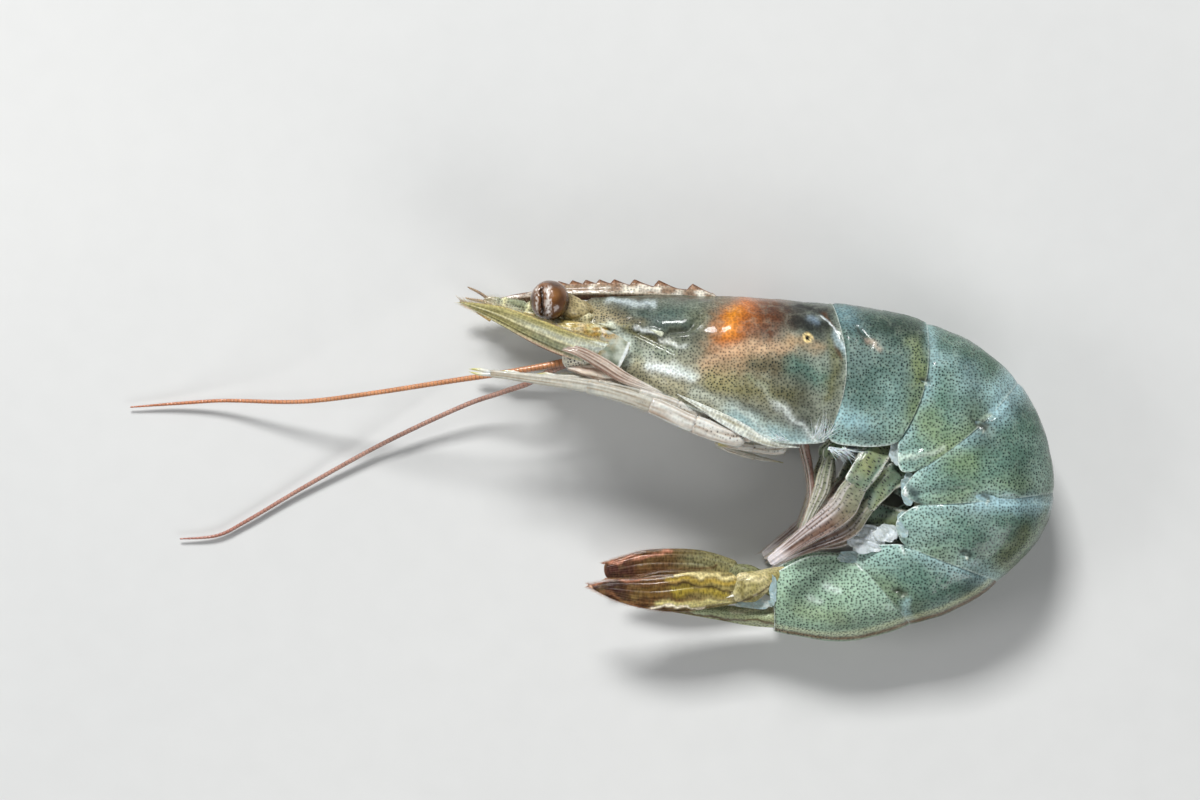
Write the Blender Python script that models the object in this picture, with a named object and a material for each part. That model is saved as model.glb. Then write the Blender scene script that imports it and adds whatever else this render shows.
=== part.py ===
# King prawn, a still life-size model that lies on its right side with its tail curled round.
# The head points to -X, the back of the head to +Y, and the left side of the body faces up, to +Z.
# Sizes are in millimetres until a mesh is made, and every mesh is in metres.

import math
from collections import namedtuple

import bmesh
import bpy
from mathutils import Vector

MM = 0.001
GAP = 0.3  # between two nodes that touch
MID_HEIGHT = 9.4  # of the body's middle plane above the floor, at the thorax
SEAM_STEP = 0.28  # by which a shell plate stands proud of the one that slips under it

# One station of the body: the points on the back and at the lower edge of the shell in the XY plane,
# half the width, the height of the middle plane, the bow of a seam here and the ridge on the back.
Station = namedtuple("Station", "back edge half_width middle bow ridge")

CARAPACE = [
    Station((-1.2, 15.0), (5.2, 2.6), 5.6, MID_HEIGHT, 1.5, 0.3),
    Station((3.6, 15.2), (8.4, 1.5), 7.0, MID_HEIGHT, 0.8, 0.4),
    Station((9.6, 15.4), (12.0, 0.5), 8.4, MID_HEIGHT, 0.2, 0.4),
    Station((15.2, 15.4), (15.8, -0.9), 9.3, MID_HEIGHT, 0.2, 0.3),
    Station((21.8, 15.2), (21.5, -3.8), 9.8, MID_HEIGHT, 0.6, 0.2),
    Station((28.5, 14.8), (27.0, -6.7), 9.8, MID_HEIGHT, 1.6, 0.1),
    Station((34.6, 14.4), (32.6, -7.3), 9.2, MID_HEIGHT, 2.6, 0.0),
]
ABDOMEN = [
    CARAPACE[-1],
    Station((41.7, 13.2), (38.2, -6.7), 9.7, MID_HEIGHT, 2.6, 0.0),
    Station((48.3, 11.7), (42.6, -8.0), 9.7, MID_HEIGHT, 2.0, 0.0),
    Station((55.5, 8.6), (44.2, -10.0), 9.8, MID_HEIGHT, 1.4, 0.0),
    Station((62.2, 3.2), (44.5, -11.9), 9.7, MID_HEIGHT, 1.0, 0.0),
    Station((66.3, -4.5), (44.6, -13.7), 9.6, MID_HEIGHT, 0.6, 0.1),
    Station((67.9, -13.3), (44.6, -15.5), 9.2, 9.2, 0.3, 0.2),
    Station((65.6, -20.4), (43.9, -18.1), 8.6, 8.8, 0.2, 0.3),
    Station((59.8, -26.8), (43.0, -20.6), 7.7, 8.2, 0.1, 0.3),
    Station((53.4, -30.8), (40.2, -21.8), 7.0, 7.6, 0.0, 0.4),
    Station((46.8, -33.2), (37.0, -22.4), 6.4, 7.1, 0.0, 0.5),
    Station((36.8, -35.6), (31.4, -23.4), 5.6, 6.5, 0.0, 0.5),
    Station((26.4, -34.4), (25.8, -25.4), 4.6, 6.1, 0.0, 0.4),
]
PLATE_COUNT = 6
SPANS_PER_PLATE = 2

STERNUM_SHARE = 0.17  # height of the underside over the shell's lower edge, as a share of the body's
WIDEST_SHARE = 0.47
SHELL_WALL = 0.9
WALL_TAPER = 0.3  # by which the wall is thicker at the underside than at its lower edge
SIDE_SHARES = (0.985, 0.94, 0.84)  # half width below the widest place, at the underside and at the edge
ARCH_POINTS = 5
ARCH_POWERS = (0.86, 0.92)  # under 1 makes the back squarer than an ellipse, across and upwards
FRONT_NOTCH, PLATE_NOTCH = 0.35, 0.8  # how far the lower edge rises at a plate's ends, over the sternum's
CARAPACE_RINGS, PLATE_RINGS = 15, 7

ROSTRUM_PATH = [(18.0, 15.0), (8.0, 15.9), (-4.0, 16.0), (-11.0, 15.5), (-16.9, 14.9)]
ROSTRUM_HEIGHTS = [0.9, 1.15, 1.0, 0.65, 0.0]
ROSTRUM_WIDTHS = [0.6, 0.8, 0.7, 0.5, 0.0]
UPPER_TEETH = [20.0, 14.2, 9.2, 5.6, 2.6, 0.4, -1.6, -3.6, -5.6]  # x of each tip
UPPER_TOOTH_HEIGHT = 1.25
LOWER_TEETH = [-10.6, -12.8]
LOWER_TOOTH_HEIGHT = 0.7
TOOTH_HALF_THICKNESS = 0.32
SIDE_SPINES = [(0.12, 3), (1.25, 3)]  # station and outline point of the spine by the feeler and of the next
SIDE_SPINE_LENGTH = 2.2

# In the paths below, the third number is the distance from the middle plane, out to either side.
HEAD_PATH = [(7.0, 7.4, 0), (3.0, 8.6, 0), (0.0, 9.8, 0), (-2.6, 11.2, 0)]
HEAD_HALF_HEIGHTS = [4.6, 4.3, 3.5, 1.9]
HEAD_HALF_WIDTHS = [5.2, 4.9, 4.2, 3.0]

EYE_RADIUS = 2.85
EYE_PATH = [(-0.4, 12.1, 2.2), (-2.8, 13.1, 4.2), (-5.2, 14.1, 5.4), (-7.6, 15.0, 6.1)]
STALK_RADII = [1.3, 1.2, 1.5, 1.9]

ANTENNULE_PATH = [(0.0, 9.8, 1.6), (-4.2, 10.4, 1.7), (-8.0, 11.6, 1.7), (-12.0, 13.2, 1.9), (-17.2, 14.7, 2.2)]
ANTENNULE_RADII = [1.15, 1.22, 1.22, 1.15, 0.5]
WHIP_TIPS = [(-19.8, 16.9, 2.9), (-20.6, 15.6, 1.9)]
WHIP_RADIUS = 0.3

ANTENNA_BASE_PATH = [(5.4, 8.0, 4.2), (2.4, 7.6, 5.2), (-0.2, 6.8, 5.0), (-2.6, 6.1, 4.8), (-4.7, 5.7, 4.4)]
ANTENNA_BASE_HALF_HEIGHTS = [2.2, 2.4, 1.6, 1.3, 0.8]
ANTENNA_BASE_HALF_WIDTHS = [1.8, 2.0, 1.5, 1.2, 0.8]

SCALE_PATH = [(2.2, 7.9, 6.2), (-3.0, 8.6, 7.2), (-9.0, 10.4, 7.4), (-15.0, 12.7, 6.8), (-20.9, 14.6, 5.6)]
SCALE_HALF_HEIGHTS = [1.4, 2.3, 2.4, 1.7, 0.0]
SCALE_HALF_THICKNESSES = [0.5, 0.5, 0.45, 0.4, 0.0]
SCALE_FACING = (-0.25, -0.55, 0.8)

FEELER_RADII = (0.46, 0.27, 0.12)  # at the base, near the tip and at the tip
LEFT_FEELER = [(-4.4, 5.8, 4.4), (-9.0, 4.9, 5.0), (-15.0, 3.9, 4.4), (-22.5, 2.8, 2.6), (-33.0, 1.2, -0.6),
               (-42.0, 0.0, -3.6), (-48.0, -0.3, -5.4), (-57.0, -0.1, -7.4), (-64.0, -0.5, -8.4),
               (-71.8, -1.1, -8.8)]
RIGHT_FEELER = [(-4.4, 5.8, -4.4), (-7.4, 4.4, -2.6), (-10.9, 2.5, -2.6), (-15.0, 1.1, -4.2),
                (-21.0, -1.0, -5.8), (-33.0, -6.6, -7.6), (-45.0, -13.2, -8.5), (-54.0, -18.5, -8.7),
                (-58.5, -20.7, -8.8), (-64.2, -21.2, -8.8)]

# Each leg runs from inside the thorax out to its tip.
LEGS = {
    "maxilliped": [(11.8, 4.6, 2.2), (12.4, -0.9, 2.1), (7.5, 0.8, 2.0), (0.0, 2.4, 2.0), (-6.0, 3.4, 2.0)],
    "leg_1": [(15.0, 3.4, 3.4), (15.4, -2.6, 3.8), (11.0, -1.8, 3.8), (6.0, 0.1, 3.8), (0.0, 1.7, 3.8),
              (-6.8, 2.8, 3.8)],
    "leg_2": [(18.4, 2.2, 4.0), (17.4, -4.2, 5.4), (11.5, -2.9, 5.6), (5.8, -0.6, 5.6), (0.0, 1.1, 5.6),
              (-12.2, 3.3, 5.6)],
    "leg_3": [(22.0, 0.8, 4.4), (20.8, -5.9, 6.9), (14.0, -4.4, 7.4), (7.6, -1.5, 7.4), (-1.5, 1.5, 7.4),
              (-16.6, 3.95, 7.2)],
    "leg_4": [(26.0, -1.0, 3.8), (27.4, -6.9, 4.5), (22.8, -7.1, 4.8), (17.5, -6.3, 4.6)],
    "leg_5": [(29.4, -2.0, 4.0), (30.2, -7.2, 4.2), (31.4, -11.0, 3.4), (31.5, -15.0, 2.8), (30.0, -19.2, 2.4)],
}
FOLDED_LEG_END = [(17.6, -6.4, 4.5), (19.2, -7.4, 3.4), (23.0, -8.5, 2.8), (27.4, -9.4, 2.6)]
FOLDED_END_RADII = [0.42, 0.48, 0.4, 0.0]
LEG_HALF_WIDTHS = (1.0, 0.42)  # at the root and at the tip
LEG_FLATNESS = 0.66
JOINT_PINCH = 0.14
CLAWED = ("leg_1", "leg_2", "leg_3")
POINTED = ("leg_5", "maxilliped")
FINGER_RADII = [0.26, 0.23, 0.0]
FINGER_LENGTH = 2.4
FINGER_SPREAD = 0.3

# Each swimmeret has a stout base from its root to its knee and two leaves, the outer one longer.
SwimmeretPath = namedtuple("SwimmeretPath", "root knee bend tip")
SWIMMERETS = [
    SwimmeretPath((40.0, -1.2, 3.4), (34.6, -8.4, 4.8), (33.6, -13.4, 4.8), (31.2, -19.0, 4.6)),
    SwimmeretPath((48.2, -4.4, 3.8), (38.8, -10.6, 7.6), (34.4, -15.9, 8.4), (24.8, -24.0, 8.6)),
    SwimmeretPath((50.4, -10.6, 3.8), (39.8, -14.4, 5.9), (35.0, -18.6, 6.3), (26.6, -22.9, 6.4)),
    SwimmeretPath((50.2, -18.2, 3.6), (40.6, -17.0, 3.8), (35.8, -19.7, 4.1), (28.4, -21.6, 4.1)),
    SwimmeretPath((44.6, -24.2, 2.6), (39.0, -19.6, 1.5), (35.4, -20.6, 1.7), (30.0, -20.9, 1.7)),
]
STEM_HALF_WIDTHS = [1.5, 1.6, 1.2, 0.7]
STEM_HALF_THICKNESSES = [0.9, 0.9, 0.75, 0.5]
LEAF_HALF_WIDTHS = (1.16, 1.55, 1.55, 1.55, 1.16)  # of the outer leaf, from the first swimmeret to the last
LEAF_HALF_THICKNESS = 0.26
INNER_LEAF_SHARE = 0.62  # of the outer leaf's length
INNER_LEAF_SHIFT = (0.9, -0.3, -0.85)

TAIL_MIDDLE = 6.1
TELSON_PATH = [(28.0, -32.6, 0), (23.0, -32.3, 0), (17.0, -31.7, 0), (7.4, -31.2, 0)]
TELSON_HALF_WIDTHS = [2.9, 2.6, 1.7, 0.0]
TELSON_HALF_THICKNESSES = [1.1, 1.0, 0.8, 0.0]
FAN_BASE_PATH = [(27.6, -29.0, 2.4), (25.0, -28.4, 3.3)]  # goes on to the start of the outer blade
FAN_BASE_HALF_WIDTHS = [1.6, 1.9, 1.8, 1.0]
FAN_BASE_HALF_THICKNESSES = [1.0, 1.1, 0.9, 0.4]
OUTER_BLADES = {
    "left": [(20.8, -28.2, 4.6), (15.0, -28.2, 4.9), (8.0, -28.5, 5.0), (2.4, -28.5, 4.8), (-1.9, -27.7, 4.6)],
    "right": [(21.0, -26.6, 3.2), (15.0, -25.6, 3.5), (8.0, -25.1, 3.6), (3.2, -25.5, 3.4), (-0.4, -26.4, 3.2)],
}
OUTER_BLADE_HALF_WIDTHS = [1.7, 2.5, 2.7, 2.2, 0.0]
OUTER_BLADE_HALF_THICKNESSES = [0.5, 0.42, 0.38, 0.34, 0.0]
INNER_BLADES = {
    "left": [(23.8, -28.9, 2.9), (15.0, -29.6, 2.7), (9.0, -29.8, 2.6), (3.6, -30.0, 2.5)],
    "right": [(23.8, -28.6, 2.4), (15.0, -28.0, 1.6), (9.0, -27.8, 1.6), (2.6, -28.0, 1.6)],
}
INNER_BLADE_HALF_WIDTHS = [0.9, 1.9, 1.9, 0.0]
INNER_BLADE_HALF_THICKNESSES = [0.45, 0.36, 0.34, 0.0]

SHELL = ((0.33, 0.40, 0.34), 0.3)
HEAD_SHELL = ((0.42, 0.38, 0.28), 0.3)
TAIL = ((0.30, 0.22, 0.12), 0.35)
LIMB = ((0.62, 0.52, 0.44), 0.35)
SWIMMERET = ((0.45, 0.30, 0.24), 0.35)
EYE = ((0.07, 0.04, 0.03), 0.12)
FEELER = ((0.50, 0.20, 0.07), 0.3)
SCALE = ((0.55, 0.54, 0.38), 0.3)


def clear_scene():
    for old in list(bpy.data.objects):
        bpy.data.objects.remove(old)


def material(name, finish):
    colour, roughness = finish
    made = bpy.data.materials.new(name)
    made.use_nodes = True
    shader = made.node_tree.nodes["Principled BSDF"]
    shader.inputs["Base Color"].default_value = (*colour, 1.0)
    shader.inputs["Roughness"].default_value = roughness
    shader.inputs["Metallic"].default_value = 0.0
    made.diffuse_color = (*colour, 1.0)
    return made


def between(a, b, c, d, t):
    # A smooth value on the way from b to c, which also heeds its neighbours a and d.
    return 0.5 * ((2 * b) + (c - a) * t + (2 * a - 5 * b + 4 * c - d) * t**2 + (3 * b - a - 3 * c + d) * t**3)


def along(values, place):
    # The value at a fractional place in a list of numbers or vectors.
    last = len(values) - 1
    i = min(int(place), last - 1)
    before, after = max(i - 1, 0), min(i + 2, last)
    return between(values[before], values[i], values[i + 1], values[after], place - i)


def new_object(name, points, faces, finish):
    mesh = bpy.data.meshes.new(name)
    mesh.from_pydata([Vector(p) * MM for p in points], [], faces)
    mesh.validate()
    made = bpy.data.objects.new(name, mesh)
    bpy.context.scene.collection.objects.link(made)
    mesh.materials.append(material(name, finish))
    return made


def face_outwards(made):
    shape = bmesh.new()
    shape.from_mesh(made.data)
    bmesh.ops.recalc_face_normals(shape, faces=shape.faces)
    if shape.calc_volume(signed=True) < 0:
        bmesh.ops.reverse_faces(shape, faces=shape.faces)
    shape.to_mesh(made.data)
    shape.free()


# Body plates


def section_outline(height, half_width, hem, ridge):
    # Half of a body section from the back down, inwards round the lower edge and up to the underside's
    # middle, as (side, up) with up measured from the lower edge of the shell.
    sternum, widest = STERNUM_SHARE * height, WIDEST_SHARE * height
    half = []
    across, upwards = ARCH_POWERS
    for k in range(ARCH_POINTS + 1):
        turn = 0.5 * math.pi * k / ARCH_POINTS
        side = half_width * math.sin(turn) ** across
        half.append((side, widest + (height - widest) * max(math.cos(turn), 0) ** upwards))
    half[0] = (0.0, height + ridge)
    below, level, edge = (half_width * share for share in SIDE_SHARES)
    half.append((below, 0.5 * (widest + sternum)))
    half.append((level, sternum))
    half.append((edge, hem))
    half.append((edge - SHELL_WALL, hem))
    half.append((edge - SHELL_WALL - WALL_TAPER, sternum))
    half.append((0.0, sternum))
    return half


def section_ring(stations, place, shift, swell, hem_share):
    # The closed ring of points of the body at a place among the stations, moved along the body by shift.
    backs = [Vector((*s.back, 0)) for s in stations]
    edges = [Vector((*s.edge, 0)) for s in stations]
    back, edge = along(backs, place), along(edges, place)
    up = (back - edge).normalized()
    onward = Vector((up.y, -up.x, 0))
    height = (back - edge).length
    half_width = along([s.half_width for s in stations], place)
    middle = along([s.middle for s in stations], place)
    bow = along([s.bow for s in stations], place)
    ridge = along([s.ridge for s in stations], place)
    hem = hem_share * STERNUM_SHARE * height
    half = section_outline(height, half_width, hem, max(ridge, 0.0))
    widest = WIDEST_SHARE * height
    half = [(side + (swell if side else 0), rise + swell * (rise > widest)) for side, rise in half]
    sides = half + [(-side, rise) for side, rise in reversed(half[1:-1])]
    ring = []
    for side, rise in sides:
        lean = bow * math.sin(math.pi * min(max(rise / height, 0), 1)) + shift
        point = edge + up * rise + onward * lean
        ring.append(Vector((point.x, point.y, max(middle + side, 0.0))))
    return ring


def cap_faces(start, count, flip):
    # Closes a body ring: strips from left to right above the underside, and one face for each flap.
    half = count // 2
    right = [(count - k) % count for k in range(half + 1)]
    inner = half - 4  # the point level with the underside, on the outer wall
    faces = [(0, 1, right[1])]
    faces += [(k, k + 1, right[k + 1], right[k]) for k in range(1, inner - 1)]
    corner = half - 1
    faces.append((inner - 1, inner, corner, half, right[corner], right[inner], right[inner - 1]))
    faces.append((inner, inner + 1, inner + 2, corner))
    faces.append((right[corner], right[inner + 2], right[inner + 1], right[inner]))
    faces = [tuple(start + k for k in face) for face in faces]
    return [face[::-1] for face in faces] if flip else faces


def ring_faces(start, count):
    # The band between the ring that begins at start and the next one, split alike above and below.
    faces = []
    for k in range(count):
        a, b = start + k, start + (k + 1) % count
        c, d = b + count, a + count
        faces += [(a, b, c), (a, c, d)] if k < count / 2 else [(a, b, d), (b, c, d)]
    return faces


def plate(name, stations, first, last, rings, notch, steps=(True, True)):
    # One closed length of the body. notch lifts the lower edge near both ends, so that it is scalloped, and
    # steps says at which ends it meets another plate.
    points, faces = [], []
    for n in range(rings):
        share = n / (rings - 1)
        place = first + (last - first) * share
        shift = 0.5 * GAP * ((n == 0) - (n == rings - 1))
        shift *= 1 if steps[n > 0] else 0
        swell = -0.5 * SEAM_STEP if n == 0 and steps[0] else 0.0
        swell = 0.5 * SEAM_STEP if n == rings - 1 and steps[1] else swell
        hem_share = notch * (1 - math.sin(math.pi * share) ** 0.6)
        points += section_ring(stations, place, shift, swell, hem_share)
    count = len(points) // rings
    for n in range(rings - 1):
        faces += ring_faces(n * count, count)
    faces += cap_faces(0, count, True)
    faces += cap_faces((rings - 1) * count, count, False)
    made = new_object(name, points, faces, SHELL)
    face_outwards(made)
    return made


# Limbs, feelers and blades

ROUND = [(math.cos(math.tau * k / 8), math.sin(math.tau * k / 8)) for k in range(8)]
SLIM = [(math.cos(math.tau * k / 6), math.sin(math.tau * k / 6)) for k in range(6)]
LEAF = [(1, 0), (0.6, 0.75), (0, 1), (-0.6, 0.75), (-1, 0), (-0.6, -0.75), (0, -1), (0.6, -0.75)]
RIBBED = [(1, 0), (0.78, 0.9), (0.6, 0.6), (0.12, 0.7), (0.0, 1.25), (-0.12, 0.7), (-0.5, 0.6), (-0.72, 0.9)]
RIBBED += [(-1, 0)] + [(across, -0.6) for across in (-0.72, -0.5, -0.12, 0.0, 0.12, 0.6, 0.78)]


def sweep(name, path, widths, depths, finish, outline=ROUND, samples=3, thin=(0, 0, 1), pinch=0.0):
    # Draws an outline along a smooth path. widths and depths are half sizes at the path's points, depth
    # lies along thin, and an end with no width is a point. pinch narrows the joints at the path's points.
    path = [Vector(p) for p in path]
    spans = len(path) - 1
    places = [n / samples for n in range(spans * samples + 1)]
    centres = [along(path, place) for place in places]
    points, faces, rings = [], [], []
    for n, place in enumerate(places):
        ahead = centres[min(n + 1, len(centres) - 1)] - centres[max(n - 1, 0)]
        ahead.normalize()
        depth_way = Vector(thin) - ahead * ahead.dot(Vector(thin))
        depth_way.normalize()
        width_way = ahead.cross(depth_way)
        squeeze = 1 - pinch if place == int(place) else 1 + 0.5 * pinch
        width, depth = squeeze * along(widths, place), squeeze * along(depths, place)
        if width < 0.02:
            rings.append((len(points), 1))
            points.append(centres[n])
            continue
        rings.append((len(points), len(outline)))
        points += [centres[n] + width_way * a * width + depth_way * b * depth for a, b in outline]
    for (start, count), (end, end_count) in zip(rings, rings[1:]):
        if count == end_count:
            faces += ring_faces(start, count)
        elif end_count == 1:
            faces += [(start + k, start + (k + 1) % count, end) for k in range(count)]
        else:
            faces += [(end + (k + 1) % end_count, end + k, start) for k in range(end_count)]
    for (start, count), way in ((rings[0], -1), (rings[-1], 1)):
        if count > 1:
            faces.append([start + k for k in range(count)][::way])
    made = new_object(name, points, faces, finish)
    face_outwards(made)
    return made


def ball(centre, radius, finish):
    made = new_object("ball", [], [], finish)
    shape = bmesh.new()
    bmesh.ops.create_uvsphere(shape, u_segments=16, v_segments=10, radius=radius * MM)
    bmesh.ops.translate(shape, verts=shape.verts, vec=Vector(centre) * MM)
    shape.to_mesh(made.data)
    shape.free()
    return made


def tooth(tip, base, half_length, half_width):
    # A spine with four faces, wide along X and thin across the body.
    tip, base = Vector(tip), Vector(base)
    foot = [(-half_length, 0, 0), (0, 0, half_width), (half_length, 0, 0), (0, 0, -half_width)]
    points = [base + Vector(corner) for corner in foot] + [tip]
    faces = [(0, 1, 2, 3)] + [((k + 1) % 4, k, 4) for k in range(4)]
    made = new_object("tooth", points, faces, SHELL)
    face_outwards(made)
    return made


# Joining and trimming


def bake(made):
    graph = bpy.context.evaluated_depsgraph_get()
    mesh = bpy.data.meshes.new_from_object(made.evaluated_get(graph))
    made.modifiers.clear()
    made.data = mesh


def drop_scraps(made):
    # Keeps the largest closed surface of a mesh.
    shape = bmesh.new()
    shape.from_mesh(made.data)
    seen, groups = set(), []
    for face in shape.faces:
        if face in seen:
            continue
        group, stack = [], [face]
        seen.add(face)
        while stack:
            here = stack.pop()
            group.append(here)
            for edge in here.edges:
                for other in edge.link_faces:
                    if other not in seen:
                        seen.add(other)
                        stack.append(other)
        groups.append(group)
    groups.sort(key=lambda group: sum(face.calc_area() for face in group))
    scraps = [face for group in groups[:-1] for face in group]
    bmesh.ops.delete(shape, geom=scraps, context="FACES")
    shape.to_mesh(made.data)
    shape.free()


def combine(made, others, operation):
    group = bpy.data.collections.new("group")
    for other in others:
        group.objects.link(other)
    step = made.modifiers.new("combine", "BOOLEAN")
    step.operation = operation
    step.solver = "MANIFOLD"
    step.operand_type = "COLLECTION"
    step.collection = group
    bake(made)
    for other in others:
        bpy.data.objects.remove(other)
    bpy.data.collections.remove(group)
    drop_scraps(made)


def fuse(made, *others):
    combine(made, others, "UNION")
    return made


def trim(made, *parents, reach=1.25 * GAP):
    # Cuts a piece back to about a gap from the surface of what it grows from. reach is how far the points
    # of that surface move out, which its corners need a little more of than the gap.
    cutters = []
    for parent in parents:
        cutter = bpy.data.objects.new("cutter", parent.data.copy())
        bpy.context.scene.collection.objects.link(cutter)
        shape = bmesh.new()
        shape.from_mesh(cutter.data)
        shape.normal_update()
        for point in shape.verts:
            point.co += point.normal * reach * MM
        shape.to_mesh(cutter.data)
        shape.free()
        cutters.append(cutter)
    combine(made, cutters, "DIFFERENCE")
    return made


def side_point(point, side, middle=MID_HEIGHT):
    # A point given by its plane place and its distance to the left of the middle plane.
    return (point[0], point[1], middle + side * point[2])


def side_path(path, side, middle=MID_HEIGHT):
    return [side_point(point, side, middle) for point in path]


# Head


def rostrum_tooth(x, rise, way):
    # A tooth whose tip is at x, on the upper edge of the rostrum where way is 1 and on the lower where -1.
    heights = [Vector((*place, height)) for place, height in zip(ROSTRUM_PATH, ROSTRUM_HEIGHTS)]
    spots = [along(heights, k / 20) for k in range(20 * len(heights) - 19)]
    near = min(spots, key=lambda spot: abs(spot.x - x - rise))
    root = (near.x, near.y + way * 0.3 * near.z, MID_HEIGHT)
    tip = (x - 0.5 * rise, near.y + way * (near.z + 0.8 * rise), MID_HEIGHT)
    return tooth(tip, root, 1.5 * rise, TOOTH_HALF_THICKNESS)


def side_spines(place, corner):
    # The same spine on both sides of the head, pointing forward and out.
    ring = section_ring(CARAPACE, place, 0, 0, 0)
    spines = []
    for point in (ring[corner], ring[-corner]):
        outward = Vector((0, 0, math.copysign(1, point.z - MID_HEIGHT)))
        tip = point + SIDE_SPINE_LENGTH * (Vector((-0.75, 0.2, 0)) + 0.35 * outward)
        root = point + Vector((0.9, -0.2, 0)) - 0.3 * outward
        spines.append(sweep("spine", [root, tip], [0.55, 0], [0.4, 0], SHELL, SLIM, 1))
    return spines


def carapace():
    last = len(CARAPACE) - 1
    shield = plate("carapace", CARAPACE, 0, last, CARAPACE_RINGS, FRONT_NOTCH, steps=(False, True))
    path = [(x, y, MID_HEIGHT) for x, y in ROSTRUM_PATH]
    pieces = [sweep("rostrum", path, ROSTRUM_HEIGHTS, ROSTRUM_WIDTHS, SHELL)]
    pieces += [rostrum_tooth(x, UPPER_TOOTH_HEIGHT, 1) for x in UPPER_TEETH]
    pieces += [rostrum_tooth(x, LOWER_TOOTH_HEIGHT, -1) for x in LOWER_TEETH]
    for place, corner in SIDE_SPINES:
        pieces += side_spines(place, corner)
    return fuse(shield, *pieces)


def head(shield):
    # The short front of the head that carries the eyes and feelers.
    made = sweep("head", side_path(HEAD_PATH, 1), HEAD_HALF_HEIGHTS, HEAD_HALF_WIDTHS, HEAD_SHELL)
    return trim(made, shield, reach=2 * GAP)


def eye(side_name, side, shield, front):
    path = side_path(EYE_PATH, side)
    stalk = sweep("eye_" + side_name, path, STALK_RADII, STALK_RADII, EYE)
    return trim(fuse(stalk, ball(path[-1], EYE_RADIUS, EYE)), shield, front)


def antennule(side_name, side, front):
    # A stout stem with two short whips.
    path = side_path(ANTENNULE_PATH, side)
    stem = sweep("antennule_" + side_name, path, ANTENNULE_RADII, ANTENNULE_RADII, HEAD_SHELL, samples=2)
    root = Vector(path[-1]) + 0.2 * (Vector(path[-2]) - Vector(path[-1]))
    whips = []
    for tip in side_path(WHIP_TIPS, side):
        middle = root.lerp(Vector(tip), 0.5) + Vector((0, 0.15, 0))
        radii = [WHIP_RADIUS, 0.9 * WHIP_RADIUS, 0]
        whips.append(sweep("whip", [root, middle, tip], radii, radii, FEELER, SLIM, 2))
    return trim(fuse(stem, *whips), front)


def antenna_base(side_name, side, shield, front):
    made = sweep("antenna_base_" + side_name, side_path(ANTENNA_BASE_PATH, side), ANTENNA_BASE_HALF_HEIGHTS,
                 ANTENNA_BASE_HALF_WIDTHS, HEAD_SHELL)
    return trim(made, shield, front)


def antenna_scale(side_name, side, base, front):
    x, y, z = SCALE_FACING
    made = sweep("antenna_scale_" + side_name, side_path(SCALE_PATH, side), SCALE_HALF_HEIGHTS,
                 SCALE_HALF_THICKNESSES, SCALE, RIBBED, 3, (x, y, side * z))
    return trim(made, base, front)


def feeler(side_name, path, base):
    start, end, tip = FEELER_RADII
    last = len(path) - 1
    radii = [start + (end - start) * k / last for k in range(last)] + [tip]
    made = sweep("antenna_" + side_name, side_path(path, 1), radii, radii, FEELER, SLIM)
    return trim(made, base)


# Legs


def claw(path, side):
    # The two fingers at the end of a leg.
    end, back = Vector(path[-1]), Vector(path[-2])
    ahead = (end - back).normalized()
    fingers = []
    for spread in (-FINGER_SPREAD, FINGER_SPREAD):
        root = end - 0.4 * ahead + Vector((0, 0.6 * spread, 0))
        middle = root + 0.5 * FINGER_LENGTH * ahead + Vector((0, 0.9 * spread, 0))
        tip = root + FINGER_LENGTH * ahead + Vector((0, 0.3 * spread, 0))
        finger = side_path([root, middle, tip], side)
        fingers.append(sweep("finger", finger, FINGER_RADII, FINGER_RADII, LIMB, SLIM, 1))
    return fingers


def leg(name, side_name, side, shield):
    path = LEGS[name]
    root_width, tip_width = LEG_HALF_WIDTHS
    last = len(path) - 1
    widths = [root_width + (tip_width - root_width) * k / last for k in range(last + 1)]
    if name in POINTED:
        widths[-1] = 0.0
    depths = [LEG_FLATNESS * width for width in widths]
    made = sweep(f"{name}_{side_name}", side_path(path, side), widths, depths, LIMB, samples=2,
                 pinch=JOINT_PINCH)
    if name == "leg_4":
        end = side_path(FOLDED_LEG_END, side)
        fuse(made, sweep("end", end, FOLDED_END_RADII, FOLDED_END_RADII, LIMB, samples=2))
    if name in CLAWED:
        fuse(made, *claw(path, side))
    return trim(made, shield)


# Swimmerets


def swimmeret(number, side_name, side, plates):
    root, knee, bend, tip = (Vector(point) for point in SWIMMERETS[number - 1])
    stem_path = [root, root.lerp(knee, 0.5), knee, knee.lerp(bend, 0.12)]
    stem = sweep(f"swimmeret_{number}_{side_name}", side_path(stem_path, side), STEM_HALF_WIDTHS,
                 STEM_HALF_THICKNESSES, SWIMMERET, samples=2)
    width = LEAF_HALF_WIDTHS[number - 1]
    outer_path = [knee, knee.lerp(bend, 0.5), bend, bend.lerp(tip, 0.5), tip]
    widths = [0.5, 0.8 * width, width, 0.7 * width, 0.0]
    depths = [0.35] + [LEAF_HALF_THICKNESS] * 3 + [0.0]
    outer = sweep("outer", side_path(outer_path, side), widths, depths, SWIMMERET, LEAF, 2)
    shift = Vector(INNER_LEAF_SHIFT)
    inner_tip = knee.lerp(tip, INNER_LEAF_SHARE) + shift
    inner_path = [knee, knee.lerp(inner_tip, 0.35) + 0.8 * shift, knee.lerp(inner_tip, 0.7) + 0.6 * shift]
    inner_path.append(inner_tip)
    widths = [0.4, 0.6 * width, 0.6 * width, 0.0]
    depths = [0.3] + [LEAF_HALF_THICKNESS] * 2 + [0.0]
    inner = sweep("inner", side_path(inner_path, side), widths, depths, SWIMMERET, LEAF, 2)
    # It also keeps clear of the plates before and behind its own.
    return trim(fuse(stem, outer, inner), *plates[max(number - 2, 0):number + 1])


# Tail fan


def telson(last_plate):
    made = sweep("telson", side_path(TELSON_PATH, 1, TAIL_MIDDLE), TELSON_HALF_WIDTHS, TELSON_HALF_THICKNESSES,
                 TAIL, RIBBED, 3, (0.05, -1, 0))
    return trim(made, last_plate)


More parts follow.
